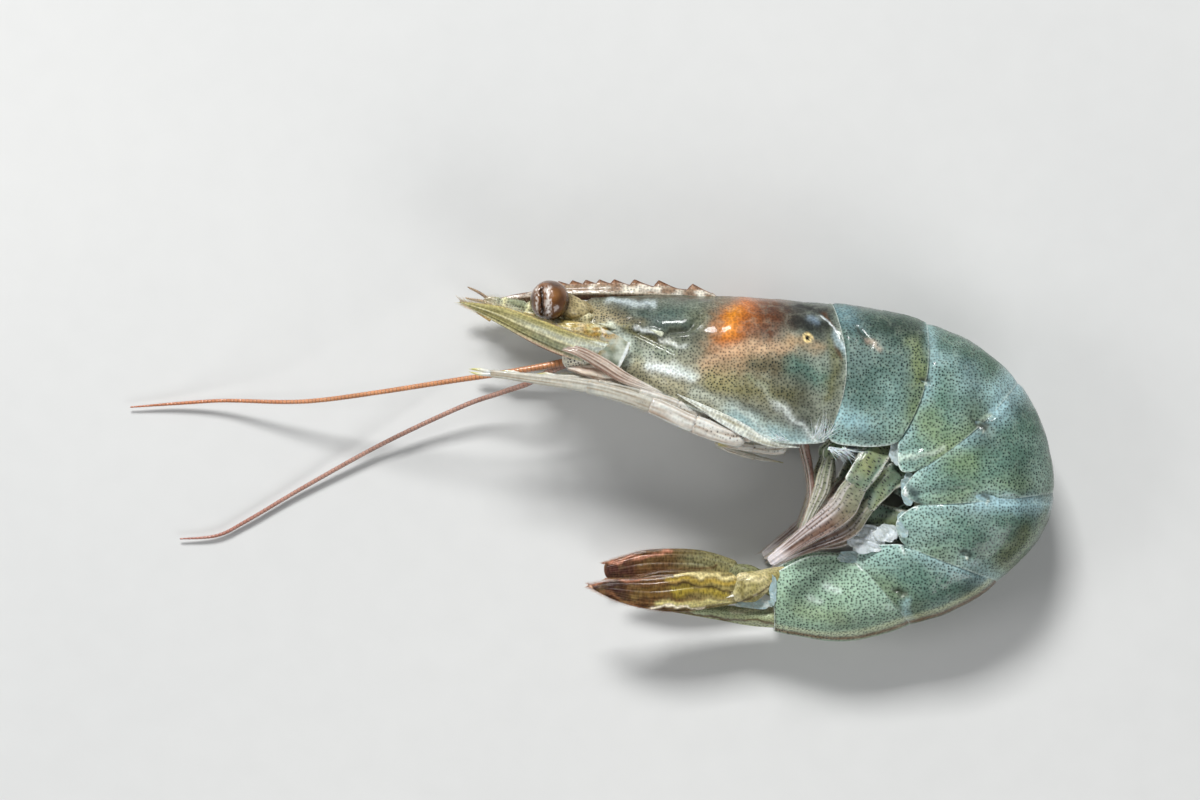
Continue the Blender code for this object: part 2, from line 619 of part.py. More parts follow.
def uropod(side_name, side, last_plate, tail_spike):
    outer_path = OUTER_BLADES[side_name]
    start = Vector(outer_path[0])
    base_path = [*FAN_BASE_PATH, start + Vector((1.2, 0, -0.3)), start + Vector((-1.6, 0, 0))]
    base = sweep(f"uropod_{side_name}_outer", side_path(base_path, side, TAIL_MIDDLE), FAN_BASE_HALF_WIDTHS,
                 FAN_BASE_HALF_THICKNESSES, TAIL)
    blade = sweep("blade", side_path(outer_path, side, TAIL_MIDDLE), OUTER_BLADE_HALF_WIDTHS,
                  OUTER_BLADE_HALF_THICKNESSES, TAIL, RIBBED, 2, (0, 0, side))
    outer = trim(fuse(base, blade), last_plate, tail_spike)
    inner = sweep(f"uropod_{side_name}_inner", side_path(INNER_BLADES[side_name], side, TAIL_MIDDLE),
                  INNER_BLADE_HALF_WIDTHS, INNER_BLADE_HALF_THICKNESSES, TAIL, RIBBED, 2, (0, 0, side))
    trim(inner, outer, tail_spike)


# Whole animal


def centre_on_floor():
    # Puts the origin under the middle of the model, on the floor.
    made = [obj for obj in bpy.data.objects if obj.type == "MESH"]
    corners = [obj.matrix_world @ Vector(corner) for obj in made for corner in obj.bound_box]
    shift = Vector([-0.5 * (min(c[i] for c in corners) + max(c[i] for c in corners)) for i in range(2)] + [0.0])
    for obj in made:
        for point in obj.data.vertices:
            point.co += shift
        obj.data.shade_smooth()
        obj.data.set_sharp_from_angle(angle=math.radians(40))
    print("shift in millimetres:", [round(value / MM, 3) for value in shift])


def main():
    clear_scene()
    shield = carapace()
    plates = []
    for n in range(PLATE_COUNT):
        first = SPANS_PER_PLATE * n
        last = first + SPANS_PER_PLATE
        plates.append(plate(f"abdomen_{n + 1}", ABDOMEN, first, last, PLATE_RINGS, PLATE_NOTCH))
    front = head(shield)
    tail_spike = telson(plates[-1])
    for side_name, side, feeler_path in (("left", 1, LEFT_FEELER), ("right", -1, RIGHT_FEELER)):
        eye(side_name, side, shield, front)
        antennule(side_name, side, front)
        base = antenna_base(side_name, side, shield, front)
        antenna_scale(side_name, side, base, front)
        feeler(side_name, feeler_path, base)
        for name in LEGS:
            leg(name, side_name, side, shield)
        for number in range(1, 6):
            swimmeret(number, side_name, side, plates)
        uropod(side_name, side, plates[-1], tail_spike)
    centre_on_floor()


main()
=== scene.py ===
import math
import random

import bpy
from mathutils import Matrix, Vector, noise


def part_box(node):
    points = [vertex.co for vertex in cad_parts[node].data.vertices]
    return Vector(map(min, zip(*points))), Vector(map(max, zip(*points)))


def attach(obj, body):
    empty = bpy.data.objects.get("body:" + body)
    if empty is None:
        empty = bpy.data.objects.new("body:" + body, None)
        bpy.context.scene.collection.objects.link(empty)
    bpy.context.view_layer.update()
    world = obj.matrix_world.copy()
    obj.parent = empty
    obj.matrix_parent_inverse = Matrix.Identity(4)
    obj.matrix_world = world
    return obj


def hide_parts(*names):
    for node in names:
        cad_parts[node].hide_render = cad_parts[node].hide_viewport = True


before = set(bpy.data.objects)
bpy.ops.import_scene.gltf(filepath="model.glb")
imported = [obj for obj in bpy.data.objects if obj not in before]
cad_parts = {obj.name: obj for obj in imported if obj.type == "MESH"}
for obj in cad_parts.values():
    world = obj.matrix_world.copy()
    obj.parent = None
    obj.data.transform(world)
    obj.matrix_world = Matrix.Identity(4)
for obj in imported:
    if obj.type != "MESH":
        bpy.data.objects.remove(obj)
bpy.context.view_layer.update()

millimetre = 0.001
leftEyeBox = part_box("eye_left")
leftEyeEdges = (-10.45, 17.85)  # where the box of the left eye begins along x and ends along y in the plane
planeShift = Vector((leftEyeBox[0].x / millimetre - leftEyeEdges[0],
                     leftEyeBox[1].y / millimetre - leftEyeEdges[1], 0))
midHeight = 9.4  # of the body's middle plane above the floor
floorGap, topLimit = 0.03, 19.2
tailMiddle = 6.1  # the same for the tail fan
sides = (("left", 1), ("right", -1))


# Small tools

def metres(point):
    # from the plane into the scene, kept between the floor and the highest place of the animal
    x, y, z = Vector(point) + planeShift
    return Vector((x, y, clamp(z, floorGap, topLimit))) * millimetre


def placed(points, side, middle=midHeight):
    # points whose height is given from the middle plane, on the left (1) or the right (-1) side
    return [Vector((x, y, middle + side * z)) for x, y, z in points]


def hue(red, green, blue):
    # a screen colour from 0 to 255 as linear light
    parts = []
    for value in (red, green, blue):
        value = value / 255
        parts.append(value / 12.92 if value <= 0.04045 else ((value + 0.055) / 1.055) ** 2.4)
    return Vector(parts)


def between(a, b, c, d, t):
    # a smooth curve from b to c, with a and d as their neighbours
    return 0.5 * ((2 * b) + (c - a) * t + (2 * a - 5 * b + 4 * c - d) * t**2
                  + (3 * b - a - 3 * c + d) * t**3)


def along(values, place):
    # the value at a fractional place in a list, on a smooth curve through all of them
    last = len(values) - 1
    i = max(min(int(place), last - 1), 0)
    return between(values[max(i - 1, 0)], values[i], values[i + 1], values[min(i + 2, last)], place - i)


def aheadAt(path, place, step=0.05):
    return (along(path, min(place + step, len(path) - 1)) - along(path, max(place - step, 0))).normalized()


def frameAlong(path, place, thin):
    # the centre of a path, and its ways ahead, across its width and through its depth
    ahead = aheadAt(path, place)
    depthWay = (Vector(thin) - ahead * ahead.dot(Vector(thin))).normalized()
    return along(path, place), ahead, ahead.cross(depthWay), depthWay


def runOf(points):
    # the length walked from the first point to each of the points
    run = [0.0]
    for a, b in zip(points, points[1:]):
        run.append(run[-1] + (b - a).length)
    return run


def clamp(value, low=0.0, high=1.0):
    return min(max(value, low), high)


def ease(value, start, end):
    # climbs softly from 0 at start to 1 at end
    t = clamp((value - start) / (end - start))
    return t * t * (3 - 2 * t)


def bump(value, centre, width):
    return math.exp(-((value - centre) / width) ** 2)


def rough(x, y, z, size, seed=0.0):
    # soft noise between about -1 and 1 with features of the given size
    return noise.noise(Vector((x / size + seed, y / size - seed, z / size + 2 * seed)))


def stroke(path, width):
    # a soft line or spot in the plane, with the box outside which it does nothing
    reach = 2.3 * width
    xs, ys = [p[0] for p in path], [p[1] for p in path]
    return path, width, (min(xs) - reach, max(xs) + reach, min(ys) - reach, max(ys) + reach)


def pressOf(mark, x, y):
    # how strongly a stroke is felt at a point
    path, width, (left, right, low, high) = mark
    if x < left or x > right or y < low or y > high:
        return 0.0
    best = 1e9
    if len(path) == 1:
        best = (x - path[0][0]) ** 2 + (y - path[0][1]) ** 2
    for (ax, ay), (bx, by) in zip(path, path[1:]):
        dx, dy = bx - ax, by - ay
        t = clamp(((x - ax) * dx + (y - ay) * dy) / (dx * dx + dy * dy))
        best = min(best, (x - ax - t * dx) ** 2 + (y - ay - t * dy) ** 2)
    return math.exp(-best / (width * width))


def deselect():
    if bpy.context.object and bpy.context.object.mode != "OBJECT":
        bpy.ops.object.mode_set(mode="OBJECT")
    bpy.ops.object.select_all(action="DESELECT")


def activate(piece):
    deselect()
    piece.select_set(True)
    bpy.context.view_layer.objects.active = piece


def applyAll(piece):
    activate(piece)
    for modifier in list(piece.modifiers):
        bpy.ops.object.modifier_apply(modifier=modifier.name)


def editAll(piece, *steps):
    # runs mesh operators, each with its options, on all of a piece
    activate(piece)
    bpy.ops.object.mode_set(mode="EDIT")
    bpy.ops.mesh.select_all(action="SELECT")
    for operator, options in steps:
        operator(**options)
    bpy.ops.object.mode_set(mode="OBJECT")


def flipFaces(piece):
    editAll(piece, (bpy.ops.mesh.flip_normals, {}))


def cleanClosed(piece):
    # merges the seam and the poles of a closed form and turns its faces outwards
    editAll(piece, (bpy.ops.mesh.remove_doubles, {"threshold": 0.002 * millimetre}),
            (bpy.ops.mesh.normals_make_consistent, {"inside": False}))


def giveWall(piece, thickness, rimWidth=0.0, rimSegments=1, offset=-1):
    # turns a sheet into a closed plate with a bevelled rim
    wall = piece.modifiers.new("wall", "SOLIDIFY")
    wall.thickness = thickness * millimetre
    wall.offset = offset
    if rimWidth:
        rim = piece.modifiers.new("rim", "BEVEL")
        rim.width = rimWidth * millimetre
        rim.segments = rimSegments
        rim.angle_limit = math.radians(55)
    applyAll(piece)


def joined(name, pieces):
    deselect()
    for piece in pieces:
        piece.select_set(True)
    bpy.context.view_layer.objects.active = pieces[0]
    if len(pieces) > 1:
        bpy.ops.object.join()
    made = bpy.context.object
    made.name = name
    made.data.name = name
    return made


uvScale = 0.01  # of the UV map, per millimetre


def gridPiece(name, columns, rows, cells):
    # a grid whose corners are moved to cells[i * (rows + 1) + j] = (point, uv, tint, dots)
    deselect()
    bpy.ops.mesh.primitive_grid_add(x_subdivisions=columns, y_subdivisions=rows, size=1)
    piece = bpy.context.object
    piece.name = name
    mesh = piece.data
    order = []
    for vertex in mesh.vertices:
        i, j = round((vertex.co.x + 0.5) * columns), round((vertex.co.y + 0.5) * rows)
        order.append(cells[i * (rows + 1) + j])
    mesh.vertices.foreach_set("co", [value for cell in order for value in metres(cell[0])])
    layer = mesh.uv_layers[0]
    layer.name = "UVMap"
    flat = [value * uvScale for loop in mesh.loops for value in order[loop.vertex_index][1]]
    layer.data.foreach_set("uv", flat)
    tint = mesh.color_attributes.new("tint", "FLOAT_COLOR", "POINT")
    tint.data.foreach_set("color", [value for cell in order for value in (*cell[2], cell[3])])
    mesh.update()
    return piece


def paint(piece, tintAt):
    # tintAt(x, y, z) in the plane's millimetres gives the colour and how many dots there are
    mesh = piece.data
    tint = mesh.color_attributes.get("tint") or mesh.color_attributes.new("tint", "FLOAT_COLOR", "POINT")
    flat = []
    for vertex in mesh.vertices:
        x, y, z = vertex.co / millimetre - planeShift
        colour, dots = tintAt(x, y, z)
        flat += [*colour, dots]
    tint.data.foreach_set("color", flat)


# crowd draws the rings to the ends, blunt is the length of the round ends in half widths
sweepDefaults = {"steps": 200, "crowd": 0.35, "thin": (0, 0, 1), "blunt": (0.6, 0.6), "power": 1.0}


def sweep(name, path, widths, depths, v, relief=None, tint=None):
    # a closed form drawn along a smooth path: widths and depths are half sizes at the path's points, depth
    # lies along "thin", relief(t, a) adds to the radius and tint(t, a) gives a colour and the dots
    v = {**sweepDefaults, **v}
    path = [Vector(p) for p in path]
    spans, steps = len(path) - 1, v["steps"]
    run = runOf([along(path, spans * k / steps) for k in range(steps + 1)])
    length = run[-1]
    rings, sidesAround, crowd, power = v["rings"], v["sides"], v["crowd"], v["power"]
    capSizes = [share * max(width, 0.05) for share, width in zip(v["blunt"], (widths[0], widths[-1]))]
    cells, k = [], 0
    for n in range(rings + 1):
        t = n / rings
        t = (1 - crowd) * t + crowd * (0.5 - 0.5 * math.cos(math.pi * t))
        while k < steps - 1 and run[k + 1] < t * length:
            k += 1
        place = spans * (k + clamp((t * length - run[k]) / max(run[k + 1] - run[k], 1e-9))) / steps
        centre, ahead, widthWay, depthWay = frameAlong(path, place, v["thin"])
        width, depth = max(along(widths, place), 0), max(along(depths, place), 0)
        cap = 1.0
        for distance, size in zip((t * length, (1 - t) * length), capSizes):
            d = clamp(distance / size)
            cap *= math.sqrt(max(d * (2 - d), 0))
        for j in range(sidesAround + 1):
            a = math.tau * j / sidesAround
            lift = relief(t, a) if relief else 0.0
            across, through = math.cos(a), math.sin(a)
            across = math.copysign(abs(across) ** power, across)
            through = math.copysign(abs(through) ** power, through)
            point = centre + widthWay * across * (width + lift) * cap
            point += depthWay * through * (depth + lift) * cap
            uv = (t * length, j / sidesAround * math.pi * (width + depth))
            colour, dots = tint(t, a) if tint else (hue(150, 140, 120), 0.5)
            cells.append((point, uv, colour, dots))
    piece = gridPiece(name, rings, sidesAround, cells)
    cleanClosed(piece)
    return piece


def dress(piece, look, nodes=()):
    piece.data.materials.clear()
    piece.data.materials.append(look)
    activate(piece)
    bpy.ops.object.shade_smooth()
    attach(piece, "root")
    if nodes:
        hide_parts(*nodes)
    return piece


# Shader tools

class Wire:
    # a socket that takes part in sums: an expression on it adds its Math nodes
    def __init__(self, look, socket):
        self.look = look
        self.socket = socket

    def math(self, operation, first, second):
        return self.look.add("ShaderNodeMath", {"operation": operation}, {0: first, 1: second})

    def output(self, name):
        return Wire(self.look, self.socket.node.outputs[name])

    def __add__(self, other):
        return self.math("ADD", self, other)

    def __radd__(self, other):
        return self.math("ADD", other, self)

    def __sub__(self, other):
        return self.math("SUBTRACT", self, other)

    def __rsub__(self, other):
        return self.math("SUBTRACT", other, self)

    def __mul__(self, other):
        return self.math("MULTIPLY", self, other)

    def __rmul__(self, other):
        return self.math("MULTIPLY", other, self)

    def __truediv__(self, other):
        return self.math("DIVIDE", self, other)

    def __rtruediv__(self, other):
        return self.math("DIVIDE", other, self)


class Look:
    # a material in the making, or the world's surround
    def __init__(self, holder, shader="Principled BSDF"):
        self.holder = holder
        self.holder.use_nodes = True
        self.tree = self.holder.node_tree
        self.shader = self.tree.nodes[shader]

    def feed(self, socket, value):
        if isinstance(value, Wire):
            self.tree.links.new(value.socket, socket)
        elif isinstance(value, Vector) and socket.type == "RGBA":
            socket.default_value = (*value, 1.0)
        else:
            socket.default_value = value

    def add(self, kind, settings, sockets, output=0):
        node = self.tree.nodes.new(kind)
        for name, value in settings.items():
            setattr(node, name, value)
        for name, value in sockets.items():
            self.feed(node.inputs[name], value)
        return Wire(self, node.outputs[output])

    def uv(self):
        return self.add("ShaderNodeUVMap", {"uv_map": "UVMap"}, {})

    def place(self):
        return self.add("ShaderNodeTexCoord", {}, {}, "Object")

    def tint(self):
        return self.add("ShaderNodeAttribute", {"attribute_name": "tint"}, {}, "Color")

    def mix(self, factor, first, second):
        return self.add("ShaderNodeMix", {"data_type": "RGBA"}, {0: factor, 6: first, 7: second}, 2)

    def bump(self, height, distance, strength):
        return self.add("ShaderNodeBump", {}, {"Height": height, "Distance": distance * millimetre,
                                               "Strength": strength})

    def scaled(self, vector, factor):
        return self.add("ShaderNodeVectorMath", {"operation": "SCALE"}, {0: vector, "Scale": factor})

    def spread(self, value, low, high, to=(0.0, 1.0)):
        return self.add("ShaderNodeMapRange", {"interpolation_type": "SMOOTHSTEP"},
                        {"Value": value, "From Min": low, "From Max": high, "To Min": to[0],
                         "To Max": to[1]})

    def noise(self, place, scale, detail=2.0, warp=0.0):
        return self.add("ShaderNodeTexNoise", {},
                        {"Vector": place, "Scale": scale, "Detail": detail, "Distortion": warp}, "Fac")

    def cells(self, place, scale, randomness=0.85, dimensions="2D"):
        return self.add("ShaderNodeTexVoronoi", {"voronoi_dimensions": dimensions},
                        {"Vector": place, "Scale": scale, "Randomness": randomness}, "Distance")

    def finish(self, sockets):
        for name, value in sockets.items():
            self.feed(self.shader.inputs[name], value)
        return self.holder


def dottedLook(name, v):
    # wet shell: the painted tint with soft clouds, pigment dots in a paler net, streaks and a wet coat
    look = Look(bpy.data.materials.new(name))
    uv = look.uv()
    place = look.place()
    tint = look.tint()
    amount = tint.output("Alpha")
    cloud = look.noise(place, 1000 / v["cloudSize"], 3.0)
    mottle = look.noise(place, 1000 / v["mottleSize"], 4.0, 0.6)
    fine = look.noise(place, 6500, 2.0)
    streakPlace = look.add("ShaderNodeVectorMath", {"operation": "MULTIPLY"}, {0: uv, 1: (0.07, 1.0, 1.0)})
    streak = look.noise(streakPlace, 100 / v["streakSize"], 3.0)
    wobble = look.noise(uv, 100 / 0.3, 1.0)
    cell = look.cells(uv, 100 / v["dotSpacing"], 0.86)
    chance = look.add("ShaderNodeSeparateColor", {}, {"Color": cell.output("Color")})
    size = v["dotSize"] * (0.5 + chance) * (0.7 + 0.6 * cloud) * (0.6 + 0.4 * amount)
    dot = look.spread((cell + (wobble - 0.5) * 0.12) / size, 0.7, 1.3, (1.0, 0.0)) * amount
    small = look.cells(uv, 100 / (0.48 * v["dotSpacing"]), 1.0)
    smallDot = look.spread(small, 0.12, 0.3, (1.0, 0.0)) * amount * v["smallDots"]
    net = look.spread(cell, 0.3, 0.65) * v["net"]
    tone = 1.0 + (cloud - 0.5) * v["cloud"] + (mottle - 0.5) * v["mottle"] + (streak - 0.5) * v["streak"]
    colour = look.scaled(tint, tone * (1.0 + net))
    colour = look.mix(look.spread(mottle, 0.45, 0.75) * v["blush"], colour, v["blushColour"])
    colour = look.mix(smallDot, colour, v["smallColour"])
    colour = look.mix(dot * v["dotDepth"], colour, v["dotColour"])
    height = (fine - 0.5) * 0.15 - dot * 0.25 + mottle * v["lumps"] + streak * v["streakRelief"]
    normal = look.bump(height, 0.1, v["bump"])
    low, high = v["roughness"]
    wet = look.noise(place, 380, 2.0)
    return look.finish({
        "Base Color": colour, "Normal": normal,
        "Roughness": low + (high - low) * (0.6 * mottle + 0.4 * fine),
        "Coat Weight": look.spread(wet, 0.35, 0.6, v["coat"]), "Coat Roughness": 0.06, "Coat IOR": 1.35,
        "Specular IOR Level": v["specular"],
        "IOR": 1.45, "Subsurface Weight": v["subsurface"], "Subsurface Radius": (1.0, 0.8, 0.6),
        "Subsurface Scale": v["subsurfaceDepth"]})


wetShell = {"cloudSize": 5.5, "cloud": 0.5, "mottleSize": 1.3, "mottle": 0.4, "streakSize": 0.5,
            "streak": 0.08,
            "dotSpacing": 0.43, "dotSize": 0.19, "dotDepth": 0.92, "dotColour": hue(22, 36, 38),
            "smallDots": 0.2,
            "smallColour": hue(84, 90, 46), "net": 0.42, "blush": 0.14, "blushColour": hue(186, 196, 176),
            "lumps": 0.9, "streakRelief": 0.0, "bump": 0.6, "roughness": (0.3, 0.5), "coat": (0.1, 0.6),
            "specular": 0.14,
            "subsurface": 0.2, "subsurfaceDepth": 0.001}
shellLook = dottedLook("wet dotted shell", wetShell)
limbLook = dottedLook("pale waxy limb",
                      {**wetShell, "dotSpacing": 0.5, "dotSize": 0.17, "net": 0.1, "cloud": 0.3,
                       "streak": 0.5, "streakSize": 0.35, "streakRelief": 0.7, "coat": (0.4, 0.9),
                       "blushColour": hue(206, 186, 170), "roughness": (0.18, 0.4),
                       "dotColour": hue(46, 44, 46), "subsurface": 0.3, "specular": 0.3})
bladeLook = dottedLook("ribbed horny blade",
                       {**wetShell, "dotSpacing": 0.4, "dotSize": 0.19, "dotDepth": 0.55,
                        "streak": 0.8, "streakSize": 0.3, "streakRelief": 0.9,
                        "dotColour": hue(44, 36, 28), "blushColour": hue(190, 170, 110),
                        "mottle": 0.35, "smallDots": 0.3, "coat": (0.12, 0.6)})


def fleshMaterial():
    # wet flesh and membrane between the shell plates
    look = Look(bpy.data.materials.new("wet membrane"))
    place = look.place()
    tint = look.tint()
    folds = look.noise(place, 900, 4.0, 1.2)
    fine = look.noise(place, 4200, 2.0)
    veins = look.cells(place, 1300, 1.0, "3D")
    # painted shade in the troughs of the folds and painted highlights on their crests
    colour = look.scaled(tint, 0.75 + 0.5 * folds)
    colour = look.mix(look.spread(folds, 0.55, 0.72) * 0.5, colour, hue(226, 226, 214))
    colour = look.mix(look.spread(veins, 0.12, 0.25, (0.35, 0.0)), colour, hue(92, 96, 84))
    normal = look.bump(folds + 0.3 * fine, 0.3, 0.6)
    return look.finish({"Base Color": colour, "Normal": normal, "Roughness": 0.16 + 0.3 * fine,
                        "Coat Weight": look.spread(folds, 0.4, 0.6, (0.5, 1.0)), "Coat Roughness": 0.05,
                        "Subsurface Weight": 0.4, "Subsurface Radius": (1.0, 0.8, 0.6),
                        "Subsurface Scale": 0.0016})


def eyeMaterial():
    # dark facetted cornea under a wet film
    look = Look(bpy.data.materials.new("dark facetted eye"))
    place = look.place()
    tint = look.tint()
    facets = look.cells(place, 12000, 0.4, "3D")
    haze = look.noise(place, 700, 3.0, 0.8)
    folds = look.noise(place, 1900, 3.0, 0.6)
    colour = look.scaled(tint, 0.7 + 0.5 * haze + 0.2 * facets)
    normal = look.bump(0.3 * facets + 1.6 * folds, 0.08, 0.4)
    return look.finish({"Base Color": colour, "Normal": normal, "Roughness": 0.12 + 0.25 * haze,
                        "Coat Weight": look.spread(haze, 0.2, 0.5, (0.45, 0.8)), "Coat Roughness": 0.03,
                        "IOR": 1.45, "Specular IOR Level": 0.35})


def feelerMaterial():
    # ringed horny feeler: its tint darkens at each ring
    look = Look(bpy.data.materials.new("ringed feeler"))
    uv = look.uv()
    place = look.place()
    tint = look.tint()
    x = look.add("ShaderNodeSeparateXYZ", {}, {0: uv})
    phase = look.add("ShaderNodeMath", {"operation": "FRACT"}, {0: x * (100 / 0.6)})
    ring = look.spread(look.add("ShaderNodeMath", {"operation": "ABSOLUTE"}, {0: phase - 0.5}), 0.3, 0.5)
    haze = look.noise(place, 300, 3.0)
    fine = look.noise(place, 5200, 2.0)
    colour = look.scaled(tint, (0.7 + 0.6 * haze) * (1.1 - 0.5 * ring) * (0.85 + 0.3 * fine))
    normal = look.bump(fine - ring, 0.05, 0.5)
    return look.finish({"Base Color": colour, "Normal": normal, "Roughness": 0.22 + 0.3 * fine,
                        "Coat Weight": look.spread(haze, 0.3, 0.6, (0.3, 0.8)), "Coat Roughness": 0.08,
                        "Subsurface Weight": 0.2, "Subsurface Radius": (1.0, 0.6, 0.4),
                        "Subsurface Scale": 0.0006})


def hairMaterial():
    look = Look(bpy.data.materials.new("fine pale hair"))
    place = look.place()
    tint = look.tint()
    haze = look.noise(place, 900, 2.0)
    return look.finish({"Base Color": look.scaled(tint, 0.7 + 0.6 * haze), "Roughness": 0.3 + 0.2 * haze,
                        "Subsurface Weight": 0.3, "Subsurface Scale": 0.0005, "Coat Weight": 0.3})


fleshLook, eyeLook, feelerLook, hairLook = fleshMaterial(), eyeMaterial(), feelerMaterial(), hairMaterial()
print("materials made")


# Body shells

carapaceStations = [  # back, lower edge, half width, height of the middle plane, bow of a seam, ridge
    ((-1.2, 15.0), (5.2, 2.6), 5.6, 9.4, 1.5, 0.3), ((3.6, 15.2), (8.4, 1.5), 7.0, 9.4, 0.8, 0.4),
    ((9.6, 15.4), (12.0, 0.5), 8.4, 9.4, 0.2, 0.4), ((15.2, 15.4), (15.8, -0.9), 9.3, 9.4, 0.2, 0.3),
    ((21.8, 15.2), (21.5, -3.8), 9.8, 9.4, 0.6, 0.2), ((28.5, 14.8), (27.0, -6.7), 9.8, 9.4, 1.6, 0.1),
    ((34.6, 14.4), (32.6, -7.3), 9.2, 9.4, 2.6, 0.0)]
abdomenStations = [
    carapaceStations[-1], ((41.7, 13.2), (38.2, -6.7), 9.7, 9.4, 2.6, 0.0),
    ((48.3, 11.7), (42.6, -8.0), 9.7, 9.4, 2.0, 0.0), ((55.5, 8.6), (44.2, -10.0), 9.8, 9.4, 1.4, 0.0),
    ((62.2, 3.2), (44.5, -11.9), 9.7, 9.4, 1.0, 0.0), ((66.3, -4.5), (44.6, -13.7), 9.6, 9.4, 0.6, 0.1),
    ((67.9, -13.3), (44.6, -15.5), 9.2, 9.2, 0.3, 0.2), ((65.6, -20.4), (43.9, -18.1), 8.6, 8.8, 0.2, 0.3),
    ((59.8, -26.8), (43.0, -20.6), 7.7, 8.2, 0.1, 0.3), ((53.4, -30.8), (40.2, -21.8), 7.0, 7.6, 0.0, 0.4),
    ((46.8, -33.2), (37.0, -22.4), 6.4, 7.1, 0.0, 0.5), ((36.8, -35.6), (31.4, -23.4), 5.6, 6.5, 0.0, 0.5),
    ((26.4, -34.4), (25.8, -25.4), 4.6, 6.1, 0.0, 0.4)]
sternumShare, widestShare = 0.17, 0.47  # of the height of a section
uvSideGap = 60  # keeps the left and the right half apart in the UV map


def sectionAt(stations, place):
    # the body's section at a place: its lower edge, the way up and the way back, and its sizes
    back = along([Vector(s[0]) for s in stations], place)
    edge = along([Vector(s[1]) for s in stations], place)
    up = (back - edge).normalized()
    sizes = along([Vector(s[2:]) for s in stations], place)
    return edge, up, Vector((up.y, -up.x)), (back - edge).length, sizes


def halfOutline(height, halfWidth, ridge, hem, count):
    # half a section from the back down to the hem, evenly spaced, as (side, rise, outline walked from the
    # widest place, outline walked from the back), with its ways out and its whole length
    widest = widestShare * height
    dense, quarter = [], 40
    for k in range(quarter + 1):
        turn = 0.5 * math.pi * k / quarter
        side = halfWidth * math.sin(turn) ** 0.86
        rise = widest + (height - widest) * max(math.cos(turn), 0) ** 0.92 + ridge * bump(side, 0, 1.1)
        dense.append(Vector((side, rise)))
    lower = [Vector((halfWidth, widest)),
             Vector((0.985 * halfWidth, 0.5 * (widest + sternumShare * height))),
             Vector((0.94 * halfWidth, sternumShare * height)), Vector((0.84 * halfWidth, hem))]
    dense += [along(lower, k / 8) for k in range(1, 25)]
    run = runOf(dense)
    found, k = [], 0
    for n in range(count + 1):
        target = run[-1] * n / count
        while k < len(run) - 2 and run[k + 1] < target:
            k += 1
        step = dense[k + 1] - dense[k]
        point = dense[k] + step * ((target - run[k]) / max(step.length, 1e-9))
        found.append((point.x, point.y, run[quarter] - target, target))
    outward = []
    for n in range(count + 1):
        a, b = found[max(n - 1, 0)], found[min(n + 1, count)]
        across = Vector((b[0] - a[0], b[1] - a[1])).normalized()
        outward.append((-across.y, across.x) if n else (0.0, 1.0))
    return found, outward, run[-1]


def bodySheet(name, stations, first, last, v, liftAt, tintAt, marginAt=None):
    # one shell plate as a curved sheet from the left hem over the back to the right hem, given its wall
    columns, half = v["columns"], v["rows"]
    (edgeA, upA), (edgeB, upB) = (sectionAt(stations, place)[:2] for place in (first, last))
    perPlace = (edgeB + upB * 10 - edgeA - upA * 10).length / (last - first)
    start, end = first - v["tuck"] / perPlace, last + v["over"] / perPlace
    cells = []
    for i in range(columns + 1):
        place = start + (end - start) * i / columns
        share = (place - first) / (last - first)
        edge, up, onward, height, (halfWidth, middle, bow, ridge) = sectionAt(stations, place)
        hem = v["notch"] * sternumShare * height * (1 - math.sin(math.pi * clamp(share, 0.0, 1.0)) ** 0.6)
        hem -= v["drop"] * bump(share, 0.42, 0.26)
        found, outward, length = halfOutline(height, halfWidth - v["inset"], max(ridge, 0), hem, half)
        fromFront, fromRear = (place - first) * perPlace, (end - place) * perPlace
        for j in range(-half, half + 1):
            side, rise, unrolled, walked = found[abs(j)]
            sign = 1 if j >= 0 else -1
            q = rise / height
            lean = bow * math.sin(math.pi * clamp(q)) + (marginAt(q) * ease(4.5 - fromFront, 0, 4.5)
                                                         if marginAt else 0.0)
            flat = edge + up * rise + onward * lean
            lift = liftAt(flat.x, flat.y, share, q, fromFront, fromRear, length - walked, sign)
            side += outward[abs(j)][0] * lift
            flat += up * (outward[abs(j)][1] * lift)
            z = middle + sign * side - v["roomMiddle"]
            over = v["soft"] * math.tanh(max(abs(z) - v["room"], 0) / v["soft"])
            z = v["roomMiddle"] + math.copysign(min(abs(z), v["room"]) + over, z)
            uvPoint = edge + up * (widestShare * height + unrolled) + onward * lean
            colour, dots = tintAt(flat.x, flat.y, share, q, fromFront, fromRear, length - walked, sign)
            cells.append(((flat.x, flat.y, z), (uvPoint.x + uvSideGap * sign, uvPoint.y), colour, dots))
    piece = gridPiece(name, columns, 2 * half, cells)
    middleFace = piece.data.polygons[len(piece.data.polygons) // 2]
    if middleFace.normal.dot(Vector((*sectionAt(stations, 0.5 * (first + last))[1], 0))) < 0:
        flipFaces(piece)
    giveWall(piece, v["wall"], v["rim"], 2)
    return piece


def strokesOf(rows):
    # rows of strength, path and width, as a relief or as shades
    return [(strength, stroke(path, width)) for strength, path, width in rows]


def marksOf(rows):
    # rows of screen colour, strength, share of dots, path and width, as painted marks
    return [(hue(*shade), strength, dots, stroke(path, width)) for shade, strength, dots, path,
            width in rows]


def reliefOf(strokes, x, y):
    return sum(height * pressOf(mark, x, y) for height, mark in strokes)


def shaded(colour, strokes, x, y):
    # darkens or lightens broad areas, and leaves white glints as they are
    gain = max(0.35, min(1.5, 1 + reliefOf(strokes, x, y)))
    return colour * (gain + (1 - gain) * ease(min(colour), 0.45, 0.7))


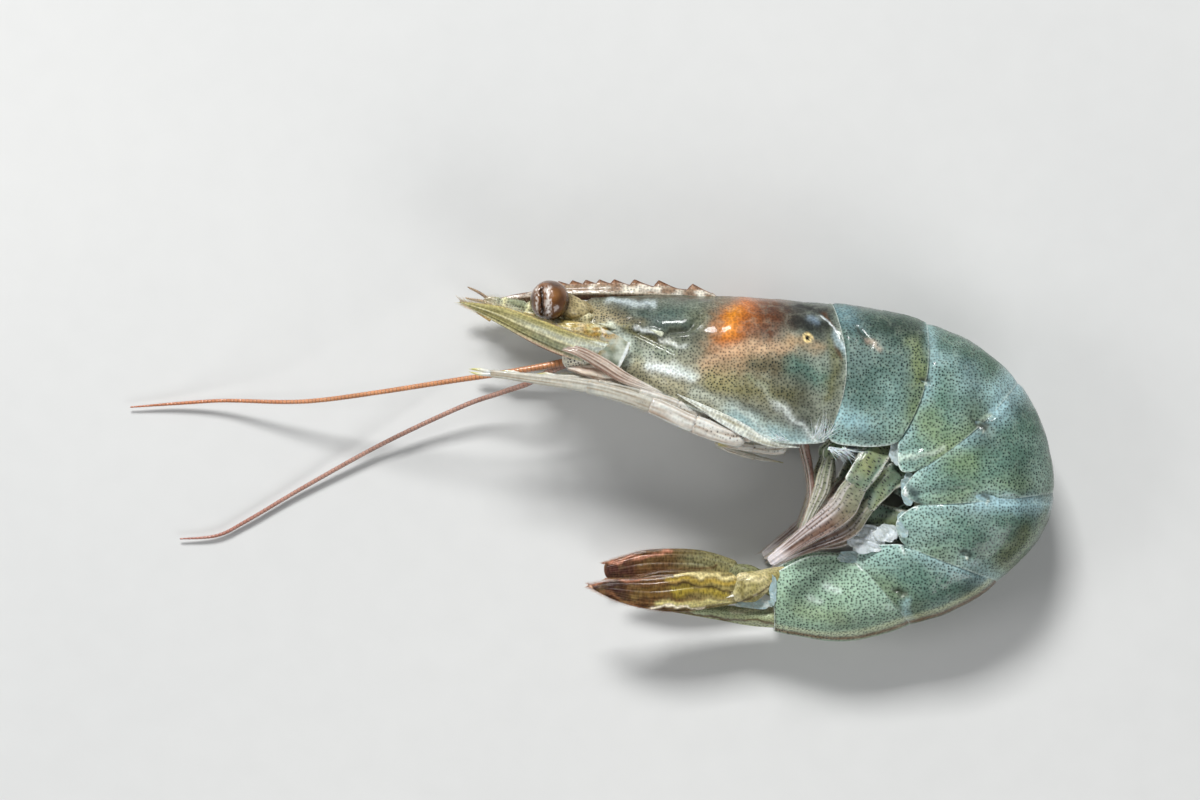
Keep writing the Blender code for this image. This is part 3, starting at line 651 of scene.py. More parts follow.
def tinted(base, marks, x, y, dots):
    # lays painted marks over a base colour, with their edges wandering a little
    wx = x + 0.7 * rough(x, y, 0, 2.2, 3.1) + 0.25 * rough(x, y, 0, 0.7, 8.3)
    wy = y + 0.7 * rough(x, y, 0, 2.2, 5.7) + 0.25 * rough(x, y, 0, 0.7, 1.9)
    colour = base.copy()
    for shade, strength, dotShare, mark in marks:
        weight = strength * pressOf(mark, wx, wy)
        if weight > 0.004:
            colour = colour.lerp(shade, min(weight, 1))
            dots += (dotShare - dots) * min(weight, 1)
    return colour, dots


carapaceSheet = {"columns": 152, "rows": 102, "tuck": 0.0, "over": 0.15, "notch": 0.35, "drop": 1.3,
                 "inset": 0.12,
                 "wall": 0.34, "rim": 0.07, "room": 8.5, "roomMiddle": 9.6, "soft": 0.9}
carapaceRelief = strokesOf([
    (0.14, [(7.6, 12.0), (12.2, 12.6)], 2.3),  # stomach
    (-0.5, [(10.2, 9.9), (13.0, 10.3), (14.8, 12.4)], 0.5),  # neck groove
    (-0.55, [(5.4, 10.1), (8.4, 8.6), (11.0, 7.3)], 0.55),  # liver groove
    (0.3, [(5.0, 11.0), (8.6, 9.9)], 0.42),
    (0.35, [(0.8, 11.1), (5.2, 10.7)], 0.4),  # keel of the spine by the feeler
    (0.28, [(17.0, 4.6), (28.0, 2.6)], 3.8),  # gill chamber
    (0.15, [(20.0, 11.8), (29.0, 11.2)], 2.6),
    (-0.1, [(14.6, 8.8), (22.0, 8.0), (31.0, 7.2)], 0.8),
    (-0.28, [(7.6, 3.9), (14.0, 1.7), (20.5, -1.0), (27.0, -3.9)], 0.6),  # over the hem
    (0.26, [(23.6, 2.2), (27.5, -1.5), (31.8, -5.6)], 0.8),  # leg bases press through
    (0.2, [(18.8, 0.6), (23.2, -3.6)], 0.7),
    (0.2, [(32.2, -3.6), (33.6, -6.2)], 0.5),
    (0.18, [(6.8, 5.4), (10.8, 3.2)], 1.1),
    (-0.16, [(33.2, 12.2), (35.2, 9.2), (36.0, 5.6), (34.4, 0.0)], 0.4)])  # inside the rear rim
carapaceMarks = marksOf([
    ((74, 94, 88), 0.9, 0.6, [(6.0, 12.0), (12.6, 12.4)], 2.0),  # stomach
    ((184, 176, 140), 0.7, 1.0, [(-2.6, 12.6), (-1.4, 11.2), (1.2, 10.9)], 0.9),
    ((96, 88, 66), 0.8, 1.0, [(-1.0, 13.3), (2.4, 12.4), (6.4, 11.4)], 0.9),
    ((150, 142, 108), 0.6, 1.0, [(1.0, 11.4), (4.6, 10.6)], 0.6),
    ((142, 130, 98), 0.85, 1.0, [(-3.6, 14.0), (-0.4, 13.2), (2.6, 11.8)], 1.2),
    ((172, 184, 186), 0.85, 0.05, [(1.2, 14.6), (4.0, 14.5), (7.6, 14.3)], 0.5),
    ((60, 52, 40), 0.7, 0.1, [(-3.0, 15.5), (6.0, 15.4), (16.0, 15.3)], 0.28),
    ((70, 72, 58), 0.85, 0.3, [(10.2, 9.95), (13.2, 10.4), (14.8, 12.5)], 0.5),
    ((112, 118, 96), 0.7, 0.7, [(14.0, 12.4), (17.6, 9.4)], 1.7),
    ((92, 86, 44), 0.8, 0.8, [(3.5, 10.6), (8.6, 8.5), (11.4, 7.2)], 0.55),
    ((128, 138, 124), 0.8, 1.0, [(3.0, 8.8), (7.0, 6.8), (12.0, 7.4)], 1.5),
    # painted highlights: white wet glints along the liver spine and beside the liver groove
    ((232, 238, 234), 1.0, 0.0, [(5.4, 10.8), (8.2, 9.95)], 0.26),
    ((232, 236, 226), 0.9, 0.0, [(8.9, 9.1), (11.2, 7.9)], 0.34),
    ((224, 230, 226), 0.7, 0.0, [(11.6, 8.0), (12.6, 7.8)], 0.3),
    ((230, 236, 234), 0.85, 0.15, [(7.4, 5.0), (10.4, 4.6), (13.2, 3.4)], 0.8),
    ((188, 198, 188), 0.6, 0.4, [(11.0, 5.0), (13.4, 3.6)], 0.7),
    ((130, 130, 114), 0.6, 1.0, [(12.6, 6.6), (16.0, 4.4)], 1.4),
    ((128, 100, 72), 0.6, 0.6, [(18.6, 13.0), (17.8, 8.6)], 2.2),
    ((128, 76, 40), 0.92, 0.4, [(25.4, 14.0), (22.2, 12.0), (19.6, 8.2)], 2.9),
    ((180, 100, 36), 0.95, 0.35, [(21.6, 13.8), (19.6, 12.0), (18.8, 9.2)], 1.8),
    ((204, 128, 30), 0.92, 0.15, [(19.9, 13.0), (18.9, 10.4)], 1.2),
    ((78, 42, 24), 0.88, 0.5, [(25.0, 13.6), (26.0, 11.8), (24.6, 9.8)], 1.9),
    ((70, 46, 32), 0.88, 0.4, [(27.4, 13.6), (28.4, 11.6)], 1.5),
    ((182, 152, 122), 0.85, 0.7, [(15.6, 5.0), (18.4, 7.0), (22.6, 8.0), (27.6, 7.4)], 1.3),
    ((150, 128, 100), 0.7, 0.9, [(17.0, 4.0), (21.0, 5.4), (26.0, 5.6)], 1.6),
    ((20, 18, 16), 0.95, 0.4, [(29.4, 13.8), (33.6, 13.2)], 1.4),
    ((34, 34, 32), 0.88, 0.5, [(28.8, 11.6), (33.4, 10.8)], 1.3),
    # a painted highlight: a small bluish glint
    ((140, 160, 176), 0.8, 0.0, [(30.7, 12.0), (32.0, 11.7)], 0.45),
    ((178, 146, 106), 0.6, 0.3, [(28.4, 8.6), (32.4, 7.8)], 1.0),
    ((92, 84, 62), 0.75, 1.0, [(22.6, 5.2), (27.6, 4.6)], 1.1),
    ((72, 74, 60), 0.6, 1.0, [(22.2, 5.2), (25.6, 5.9), (29.4, 6.0)], 1.1),
    ((84, 118, 108), 0.85, 1.0, [(29.0, 4.8), (32.6, 3.0)], 1.6),
    ((104, 100, 62), 0.7, 1.0, [(16.5, 2.6), (21.0, 1.8), (28.5, 0.4)], 1.7),
    ((122, 120, 74), 0.65, 0.8, [(34.2, 9.0), (34.8, 5.6), (33.8, 0.6)], 1.0),
    ((150, 178, 180), 0.85, 0.3, [(20.0, -2.4), (24.0, -4.6), (29.0, -6.2), (33.4, -6.2)], 1.8),
    ((186, 198, 190), 0.35, 0.6, [(14.0, 1.2), (20.0, -1.4)], 1.0),
    ((190, 196, 180), 0.55, 0.6, [(23.2, 2.2), (26.4, -1.0)], 0.5),
    # a painted highlight: white glint streaks over the leg bases
    ((218, 226, 222), 0.75, 0.2, [(26.0, -0.8), (31.4, -5.6)], 0.7),
    ((122, 126, 98), 0.7, 0.9, [(22.0, 3.4), (26.6, -0.6)], 0.35),
    ((206, 214, 204), 0.4, 0.4, [(20.2, -0.8), (24.6, -4.8)], 0.5),
    ((226, 232, 226), 0.8, 0.0, [(31.8, -3.6), (33.3, -6.0)], 0.35),
    ((204, 214, 202), 0.85, 0.1, [(1.4, 11.2), (4.2, 8.3), (3.2, 5.0)], 0.7),
    ((96, 66, 44), 0.8, 0.0, [(33.0, 12.8), (34.6, 10.2), (35.4, 6.2)], 0.22),
    # a painted highlight: a thin white glint along the rear rim
    ((224, 232, 232), 0.95, 0.0, [(32.6, 12.4), (34.8, 9.9), (36.4, 7.4)], 0.15),
    ((170, 194, 200), 0.8, 0.1, [(34.6, 9.6), (36.4, 7.0)], 0.5)])
carapaceShades = strokesOf([  # broad areas, darker or lighter
    (-0.5, [(30.8, 13.8), (31.4, 9.6)], 2.5), (-0.4, [(34.6, 12.5), (35.2, 7.0), (34.4, -5.0)], 1.7),
    (-0.6, [(29.6, 3.4), (30.2, -2.0)], 2.2), (-0.35, [(25.8, 3.4), (26.8, -0.4)], 1.7),
    (-0.45, [(2.4, 13.6), (6.2, 13.5)], 1.4), (-0.28, [(9.0, 12.6), (16.0, 12.6), (26.0, 13.6)], 1.9),
    (-0.24, [(7.6, 10.2), (13.0, 9.4)], 1.8), (0.38, [(3.6, 6.6), (6.0, 5.4)], 1.7),
    (0.32, [(8.4, 3.2), (11.6, 2.4)], 1.5), (0.42, [(15.6, 3.2), (18.8, 2.8)], 1.5),
    (0.38, [(20.0, 6.6), (23.2, 6.3)], 1.3), (-0.3, [(20.6, -0.6), (26.0, -2.6), (31.0, -4.0)], 1.3)])
carapaceSpot = (30.6, 9.2)  # a small dark spot in a pale ring, on the left side alone


def carapaceMargin(q):
    # how far the front rim is set back at a share of the height: a spine, the eye's hollow and a round lobe
    spots = ((0.0, 0.2), (0.1, -1.2), (0.19, -2.2), (0.32, -0.9), (0.45, -0.5), (0.56, -1.2), (0.66, -3.2),
             (0.76, -3.7),
             (0.86, -3.0), (0.93, -2.4), (1.0, -2.2))
    for (a, low), (b, high) in zip(spots, spots[1:]):
        if q <= b:
            return low + (high - low) * ease(q, a, b)
    return 0.0


def carapaceLift(x, y, share, q, fromFront, fromRear, fromHem, sign):
    lift = reliefOf(carapaceRelief, x, y)
    lift += 0.12 * rough(x, y, sign, 3.4, 2.0) + 0.05 * rough(x, y, sign, 1.1, 4.0)
    lift += 0.1 * bump(fromRear, 0.25, 0.3) + 0.12 * bump(fromHem, 0.25, 0.35)
    lift += 0.22 * bump(q, 1.0, 0.03) * ease(share, 0.55, 0.3)
    return lift


def carapaceTint(x, y, share, q, fromFront, fromRear, fromHem, sign):
    upper, lower = hue(88, 92, 80), hue(132, 128, 106)
    base = lower.lerp(upper, ease(q, 0.3, 0.7))
    base = base.lerp(hue(152, 168, 158), 0.5 * ease(share, 0.6, 1.0))
    colour, dots = tinted(base, carapaceMarks, x, y, 0.75)
    colour = shaded(colour, carapaceShades, x, y)
    rim = max(bump(fromHem, 0.0, 0.35), bump(fromRear, 0.0, 0.16),
              0.8 * bump(fromFront, 0.0, 0.35) * ease(q, 0.7, 0.5))
    away = math.hypot(x - carapaceSpot[0], y - carapaceSpot[1])
    if sign > 0:
        colour = colour.lerp(hue(226, 200, 140), 0.95 * ease(away, 0.85, 0.6))
        colour = colour.lerp(hue(10, 10, 10), ease(away, 0.5, 0.3))
        dots *= ease(away, 0.6, 1.1)
    return colour.lerp(hue(214, 224, 216), 0.75 * rim), dots * (1 - rim)


carapaceShell = bodySheet("carapaceShell", carapaceStations, 0.0, 6.0, carapaceSheet, carapaceLift,
                          carapaceTint, carapaceMargin)
print("carapace sheet:", len(carapaceShell.data.polygons), "faces")

abdomenSheet = {"columns": 76, "rows": 104, "tuck": 1.5, "over": 0.3, "notch": 0.8, "drop": 0.0,
                "inset": 0.2,
                "wall": 0.22, "rim": 0.07, "room": 8.5, "roomMiddle": 9.6, "soft": 0.9}
abdomenRelief = strokesOf([
    (-0.5, [(38.0, 10.3), (38.8, 9.2), (39.6, 8.3)], 0.4),
    (0.3, [(42.0, -9.3), (46.0, -8.2), (51.0, -6.8)], 0.5),
    (-0.3, [(43.0, -8.0), (47.5, -7.0)], 0.5),
    (-0.45, [(54.4, -2.1), (55.3, -3.2), (56.5, -3.8)], 0.35),
    (0.3, [(56.2, -4.0), (57.8, -3.0), (60.4, -0.6)], 0.5),
    (-0.25, [(57.4, -1.6), (60.0, 0.8)], 0.8),
    (-0.3, [(46.8, 3.2), (47.9, 2.3), (48.6, 0.6)], 0.4),
    (0.22, [(42.8, -1.0), (44.2, 2.4), (46.0, 4.0)], 1.2),
    (-0.2, [(45.6, -1.2), (46.8, -4.4)], 0.9),
    (0.25, [(50.4, 4.6), (52.6, 5.6)], 1.3),
    (-0.25, [(44.0, -14.6), (49.0, -13.6), (54.0, -13.2)], 0.5),
    (0.2, [(46.0, -12.2), (51.0, -11.6)], 0.8),
    (-0.3, [(55.6, -14.2), (60.0, -14.9), (67.0, -15.0)], 0.5),
    (0.25, [(50.0, -19.0), (46.0, -18.6)], 1.0),
    (-0.22, [(52.2, -20.6), (47.0, -22.0)], 0.6),
    (0.16, [(34.0, -28.4), (38.0, -28.8)], 1.6)])
hingeSpots = [(47.9, 2.4), (56.4, -3.9), (57.2, -14.7), (54.3, -23.3), (44.5, -28.8)]
for hingeX, hingeY in hingeSpots:
    abdomenRelief += strokesOf([(-0.5, [(hingeX - 0.5, hingeY + 0.5), (hingeX + 0.6, hingeY + 0.2)], 0.4),
                                (0.45, [(hingeX + 0.1, hingeY - 0.15)], 0.26)])
abdomenMarks = marksOf([
    ((104, 134, 142), 0.6, 0.4, [(35.8, 13.0), (37.6, 11.4)], 1.7),
    ((50, 56, 50), 0.85, 0.0, [(38.0, 10.3), (38.8, 9.2), (39.6, 8.4)], 0.3),
    ((176, 156, 138), 0.55, 0.3, [(39.5, 8.7), (41.2, 7.6)], 0.5),
    ((116, 126, 78), 0.5, 1.0, [(46.2, 8.4), (46.9, 5.6), (47.0, 3.2)], 1.1),
    ((146, 182, 188), 0.7, 0.5, [(34.6, -1.6), (38.4, -3.8)], 1.8),
    ((128, 156, 158), 0.75, 0.5, [(48.9, 10.6), (49.6, 6.4)], 0.9),
    ((128, 156, 158), 0.5, 0.7, [(51.0, 6.4), (54.4, 4.4)], 1.4),
    ((130, 148, 92), 0.45, 1.0, [(47.6, -2.4), (49.2, -4.6)], 2.0),
    ((150, 182, 190), 0.6, 0.5, [(61.6, 2.4), (58.8, -0.8)], 2.3),
    ((40, 48, 46), 0.85, 0.0, [(54.4, -2.1), (55.3, -3.2), (56.5, -3.9)], 0.26),
    ((182, 200, 178), 0.6, 0.2, [(56.0, -3.3), (57.6, -2.4)], 0.4),
    ((130, 148, 92), 0.4, 1.0, [(51.0, -8.2), (54.2, -9.4)], 2.0),
    # a painted highlight: a pale line along the side plate's ridge
    ((206, 218, 204), 0.5, 0.2, [(42.4, -9.4), (46.0, -8.3), (50.6, -6.9)], 0.4),
    ((154, 186, 194), 0.55, 0.5, [(56.2, -14.9), (63.0, -15.2), (67.8, -15.6)], 1.3),
    ((104, 108, 70), 0.6, 1.0, [(63.0, -19.6), (59.4, -24.6)], 1.5),
    ((154, 184, 188), 0.55, 0.5, [(54.6, -24.0), (59.0, -26.6)], 1.5),
    ((150, 182, 184), 0.5, 0.8, [(54.0, 2.8), (57.6, 1.0)], 2.0),
    ((136, 166, 160), 0.45, 1.0, [(42.6, 1.6), (43.6, -2.0)], 1.8),
    ((160, 192, 192), 0.7, 0.4, [(45.4, -29.8), (46.4, -32.8)], 0.7),
    # painted highlights: soft white glints on the sixth plate
    ((206, 220, 212), 0.6, 0.2, [(34.0, -27.8), (35.2, -28.4)], 0.6),
    ((206, 220, 212), 0.55, 0.2, [(31.4, -29.6), (33.0, -30.0)], 0.5),
    ((142, 156, 112), 0.4, 0.9, [(30.0, -31.6), (36.0, -32.6)], 1.4),
    # painted shadow: dark blue beside the rounded rims of the side plates
    ((52, 62, 66), 0.75, 0.2, [(46.0, -13.2), (46.6, -15.0)], 0.55),
    ((56, 66, 70), 0.6, 0.2, [(42.6, -7.8), (43.0, -9.2)], 0.5),
    ((232, 238, 234), 1.0, 0.0, [(45.3, -12.4), (45.3, -14.4), (46.8, -16.3)], 0.15),
    ((232, 238, 234), 1.0, 0.0, [(44.0, -18.2), (43.6, -19.9), (44.9, -22.7)], 0.15),
    ((232, 238, 234), 0.9, 0.0, [(41.9, -7.3), (41.7, -9.4), (42.6, -10.8)], 0.15),
    ((232, 238, 234), 0.9, 0.0, [(37.4, -23.1), (39.1, -24.9)], 0.14)])
for hingeX, hingeY in hingeSpots:
    abdomenMarks += marksOf([
        # painted shade in the dark crescent of each hinge pit and a painted highlight on the bump beside it
        ((52, 56, 46), 0.8, 0.0, [(hingeX - 0.6, hingeY + 0.5), (hingeX + 0.7, hingeY + 0.2)], 0.36),
        ((214, 220, 204), 0.8, 0.0, [(hingeX + 0.1, hingeY - 0.2)], 0.2)])
abdomenShades = strokesOf([
    (-0.4, [(54.6, 5.0), (56.6, -6.0)], 2.1), (-0.35, [(60.6, 1.0), (62.0, -1.6)], 1.6),
    (-0.45, [(38.2, -5.4), (40.8, -6.0)], 1.6), (-0.45, [(43.0, 10.8), (46.6, 9.8)], 1.5),
    (-0.3, [(38.0, 11.6), (40.4, 10.8)], 1.4), (-0.3, [(62.0, -10.0), (63.2, -17.0), (60.6, -23.4)], 1.8),
    (-0.35, [(56.4, -20.8), (55.2, -28.4)], 1.7), (-0.2, [(50.2, -21.8), (50.8, -23.6)], 1.6),
    (-0.3, [(36.0, -33.4), (46.0, -32.4)], 1.4)])


def makeTergite(number):
    # one of the six plates of the tail, tucked under the one before it
    keel = ease(number, 3.4, 5.2)

    def lift(x, y, share, q, fromFront, fromRear, fromHem, sign):
        under = 1 - ease(fromFront, 0.05, 1.1)
        puff = 0.16 * math.sin(math.pi * clamp(share)) ** 0.7
        rise = puff - 0.32 * under + (1 - under) * reliefOf(abdomenRelief, x, y)
        rise += 0.13 * rough(x, y, sign, 3.6, 6.0 + number) + 0.05 * rough(x, y, sign, 1.2, 9.0)
        rise += 0.12 * bump(fromHem, 0.2, 0.3) - 0.1 * bump(fromHem, 1.0, 0.4) - 0.06 * bump(fromRear, 0.0,
                                                                                             0.5)
        return rise + keel * 0.3 * bump(q, 1.02, 0.03)

    def tint(x, y, share, q, fromFront, fromRear, fromHem, sign):
        base = hue(128, 156, 158).lerp(hue(94, 122, 110), ease(share, 0.0, 0.35) if number > 1 else 0.8)
        base = base.lerp(hue(116, 134, 104), 0.7 * ease(share, 0.6, 0.95))
        base = base.lerp(hue(146, 176, 168), 0.6 * ease(q, 0.35, 0.05))
        base = base.lerp(hue(62, 84, 72), (0.75 if number < 3 else 0.55) * ease(q, 0.55, 0.92))
        base = base.lerp(hue(150, 170, 166), 0.35 * clamp(1.6 * rough(x, y, sign, 4.5, 12.0)))
        if number == 1:
            base = base * (0.9 - 0.3 * ease(q, 0.1, 0.5))
        if number > 3:
            base = base.lerp(hue(150, 178, 170), 0.5 * ease(q, 0.55, 0.15))
        if number == 6:
            base = base.lerp(hue(150, 176, 152), 0.75)
        colour, dots = tinted(base, abdomenMarks, x, y, 1.0)
        colour = shaded(colour, abdomenShades, x, y)
        dots *= ease(fromFront, -0.2, 0.9)
        colour = colour.lerp(hue(182, 182, 140), keel * 0.5 * bump(q, 0.95, 0.035))
        colour = colour.lerp(hue(96, 60, 32), keel * 0.85 * bump(q, 1.0, 0.022))
        if number == 6:
            colour = colour.lerp(hue(70, 62, 44), 0.6 * bump(fromRear, 0.35, 0.25))
        rim = max(0.9 * bump(fromHem, 0.0, 0.2), (0.3 if number < 6 else 0.8) * bump(fromRear, 0.0, 0.14))
        return colour.lerp(hue(212, 224, 216), rim), dots * (1 - rim)

    first = 2 * (number - 1)
    return bodySheet(f"tergite{number}", abdomenStations, first, first + 2, abdomenSheet, lift, tint)


for number in range(1, 7):
    made = dress(makeTergite(number), shellLook, [f"abdomen_{number}"])
    print("tergite", number, "made:", len(made.data.polygons), "faces")


# Rostrum, joined to the carapace

rostrum = {"path": [(18.0, 15.0), (8.0, 15.9), (-4.0, 16.0), (-11.0, 15.5), (-16.9, 14.9)],
           "heights": [0.9, 1.15, 1.0, 0.65, 0.0], "widths": [0.6, 0.8, 0.7, 0.5, 0.0],
           "upperTeeth": [20.0, 14.2, 9.2, 5.6, 2.6, 0.4, -1.6, -3.6, -5.6], "lowerTeeth": [-10.6, -12.8],
           "columns": 320, "around": 40}


def toothAt(x, tips, height, back, front):
    # teeth that lean forward: a long slope behind the tip and a steep one before it
    best = 0.0
    for tip in tips:
        t = (x - tip) / back if x > tip else (tip - x) / front
        if t < 1:
            best = max(best, height * (1 - t) ** (1.25 if x > tip else 0.8))
    return best


def makeRostrum(v):
    spans = len(v["path"]) - 1
    path = [Vector(p) for p in v["path"]]
    cells = []
    for i in range(v["columns"] + 1):
        place = spans * i / v["columns"]
        centre = along(path, place)
        ahead = aheadAt(path, place)
        up = Vector((ahead.y, -ahead.x))
        height, width = max(along(v["heights"], place), 0.0), max(along(v["widths"], place), 0.0)
        fade = ease(i / v["columns"], 0.0, 0.05)
        upper = toothAt(centre.x + 0.5, v["upperTeeth"], 1.0, 2.9, 0.7) * ease(height, 0.0, 0.4)
        lower = toothAt(centre.x + 0.3, v["lowerTeeth"], 0.55, 1.5, 0.4)
        for j in range(v["around"] + 1):
            a = math.tau * j / v["around"]
            f = math.sin(a)
            rise = f * ((height + upper) if f > 0 else (height + lower)) * fade
            core = width * math.sqrt(max(1 - (rise / (1.2 * height + 0.02)) ** 2, 0))
            blade = 0.2 * abs(math.cos(a)) * ease(height, 0.0, 0.3)
            keel = 0.3 * bump(rise, -0.1, 0.2) * width
            side = math.copysign(max(core, blade) + keel, math.cos(a)) if abs(math.cos(a)) > 1e-6 else 0.0
            tooth = ease(rise - height, -0.1, 0.5)
            edge = ease(abs(f), 0.8, 0.98)
            colour = hue(126, 104, 84).lerp(hue(66, 40, 28), 0.85 * ease(-f, 0.05, 0.6))
            colour = colour.lerp(hue(206, 200, 186),
                                 clamp(0.2 + 1.5 * rough(centre.x, 2 * rise, side, 1.4, 2.0)) * (f > 0))
            colour = colour.lerp(hue(140, 96, 66), 0.6 * tooth).lerp(hue(70, 32, 20), 0.9 * edge * (f > 0))
            # a painted highlight: the pale band along the keel
            colour = colour.lerp(hue(176, 176, 160), 0.5 * bump(rise, -0.05, 0.14))
            colour = colour.lerp(hue(104, 66, 42), 0.5 * ease(-centre.x, 6.0, 14.0))
            flat = centre + up * rise
            uv = (centre.x, 30 + rise + (5 if side < 0 else 0))
            cells.append(((flat.x, flat.y, midHeight + side), uv, colour, 0.5 * (1 - edge)))
    piece = gridPiece("rostrum", v["columns"], v["around"], cells)
    cleanClosed(piece)
    return piece


def makeSpine(root, tip, size, tint):
    return sweep("spine", [root, tip], [size, 0.0], [0.7 * size, 0.0],
                 {"rings": 12, "sides": 12, "blunt": (0.9, 0.2)}, None, lambda t, a: (tint, 0.1))


hemFold = {"path": [(11.4, 0.9, 7.6), (16.2, -1.7, 8.2), (20.6, -4.1, 8.3), (25.2, -6.2, 8.0),
                    (29.6, -7.0, 7.4)],
           "widths": [0.05, 0.65, 0.95, 0.8, 0.05], "depths": [0.1, 0.2, 0.24, 0.22, 0.1]}


def makeHemFold(side, v):
    # the pale ribbed fold along the hem, over the bases of the legs
    def relief(t, a):
        return 0.05 * bump(math.cos(a), 0.5,
                           0.15) + 0.04 * math.cos(9 * math.cos(a)) + 0.05 * rough(t * 8, a, side, 1, 3.0)

    def tint(t, a):
        c = math.cos(a) * side
        colour = hue(202, 206, 198).lerp(hue(150, 146, 124),
                                         clamp(0.3 + 1.3 * rough(t * 3, 4 * c, side, 0.9, 2.0)))
        return colour.lerp(hue(226, 230, 226), 0.7 * bump(abs(c), 0.95, 0.1)), 0.3 * ease(t, 0.9, 0.5)

    path = placed(v["path"], side)
    return sweep("hemFold", path, v["widths"], v["depths"], {"rings": 100, "sides": 24}, relief, tint)


shellParts = [carapaceShell, makeRostrum(rostrum), makeHemFold(1, hemFold), makeHemFold(-1, hemFold)]
for sideName, side in sides:
    for root, tip in (((2.6, 10.7, 5.6), (-0.4, 11.4, 6.5)), ((9.4, 9.6, 8.0), (7.3, 10.4, 8.5))):
        shellParts.append(makeSpine(*placed((root, tip), side), 0.5, hue(196, 200, 178)))
carapaceShell = dress(joined("carapaceShell", shellParts), shellLook, ["carapace"])
print("carapace with rostrum:", len(carapaceShell.data.polygons), "faces")


# Hairs

def hairTemplate():
    # one hair: a thin cone cut in short lengths, as corners and faces
    deselect()
    bpy.ops.mesh.primitive_cone_add(vertices=3, radius1=1.0, radius2=0.0, depth=1.0)
    bpy.ops.object.mode_set(mode="EDIT")
    bpy.ops.mesh.select_all(action="SELECT")
    bpy.ops.mesh.subdivide(number_cuts=2)
    bpy.ops.object.mode_set(mode="OBJECT")
    cone = bpy.context.object
    corners = [(c.co.x, c.co.y, c.co.z + 0.5) for c in cone.data.vertices]
    faces = [tuple(face.vertices) for face in cone.data.polygons]
    bpy.data.objects.remove(cone)
    return corners, faces


hairCorners, hairFaces = hairTemplate()


def hairPiece(name, hairs, radius, tint):
    # hairs are (root, way, length, bend): each one leaves its root along way and is drawn aside by bend
    points, faces, colours = [], [], []
    for root, way, length, bend in hairs:
        way = Vector(way).normalized()
        across = way.orthogonal().normalized()
        other = way.cross(across)
        start = len(points)
        for x, y, z in hairCorners:
            point = Vector(root) + way * (z * length) + Vector(bend) * (z * z * length)
            points.append(metres(point + (across * x + other * y) * radius))
            colours += [*(tint * (1.0 - 0.3 * z)), 0.0]
        faces += [tuple(start + k for k in face) for face in hairFaces]
    mesh = bpy.data.meshes.new(name)
    mesh.from_pydata(points, [], faces)
    mesh.uv_layers.new(name="UVMap")
    layer = mesh.color_attributes.new("tint", "FLOAT_COLOR", "POINT")
    layer.data.foreach_set("color", colours)
    piece = bpy.data.objects.new(name, mesh)
    bpy.context.scene.collection.objects.link(piece)
    return dress(piece, hairLook)


def fringe(path, widths, thin, edge, reach, count, length, lean, seed):
    # hairs along one edge of a blade, 1 or -1, over the reach of its path, leaning ahead
    draw = random.Random(seed)
    path = [Vector(p) for p in path]
    spans = len(path) - 1
    hairs = []
    for k in range(count):
        place = spans * (reach[0] + (reach[1] - reach[0]) * (k + draw.random()) / count)
        centre, ahead, widthWay, depthWay = frameAlong(path, place, thin)
        root = centre + widthWay * (edge * 0.9 * max(along(widths, place), 0.0))
        way = widthWay * edge * (1 - lean) + ahead * lean + depthWay * draw.uniform(-0.2, 0.2)
        hairs.append((root, way, length * draw.uniform(0.7, 1.1),
                      ahead * 0.3 + depthWay * draw.uniform(-0.15, 0.15)))
    return hairs


def cornerHairs():
    # fine white hairs that fan out where the hem, the first side plate and the legs meet
    draw = random.Random(29)
    hairs = []
    for side in (1, -1):
        for (x, y), turn, count, length, rise in (((32.4, -5.6), 62, 30, 4.0, 0.12),
                                                  ((34.8, -7.2), -30, 34, 4.2, -0.03),
                                                  ((26.8, -5.8), 150, 18, 2.4, 0.14)):
            for k in range(count):
                angle = math.radians(turn + draw.uniform(-28, 28))
                root = (x + draw.uniform(-1.3, 1.3), y + draw.uniform(-0.3, 0.3),
                        midHeight + side * draw.uniform(8.75, 9.05))
                way = (math.cos(angle), math.sin(angle), side * (rise + draw.uniform(-0.05, 0.06)))
                hairs.append((root, way, length * draw.uniform(0.6, 1.1),
                              (draw.uniform(-0.2, 0.2), draw.uniform(-0.2, 0.2), 0)))
    hairPiece("hemHairs", hairs, 0.055, hue(240, 244, 244))


cornerHairs()


# Flesh inside the plates, with the front of the head

fleshBody = {"inset": 0.95, "half": 36, "under": 12, "carapaceRings": 70, "abdomenRings": 120}


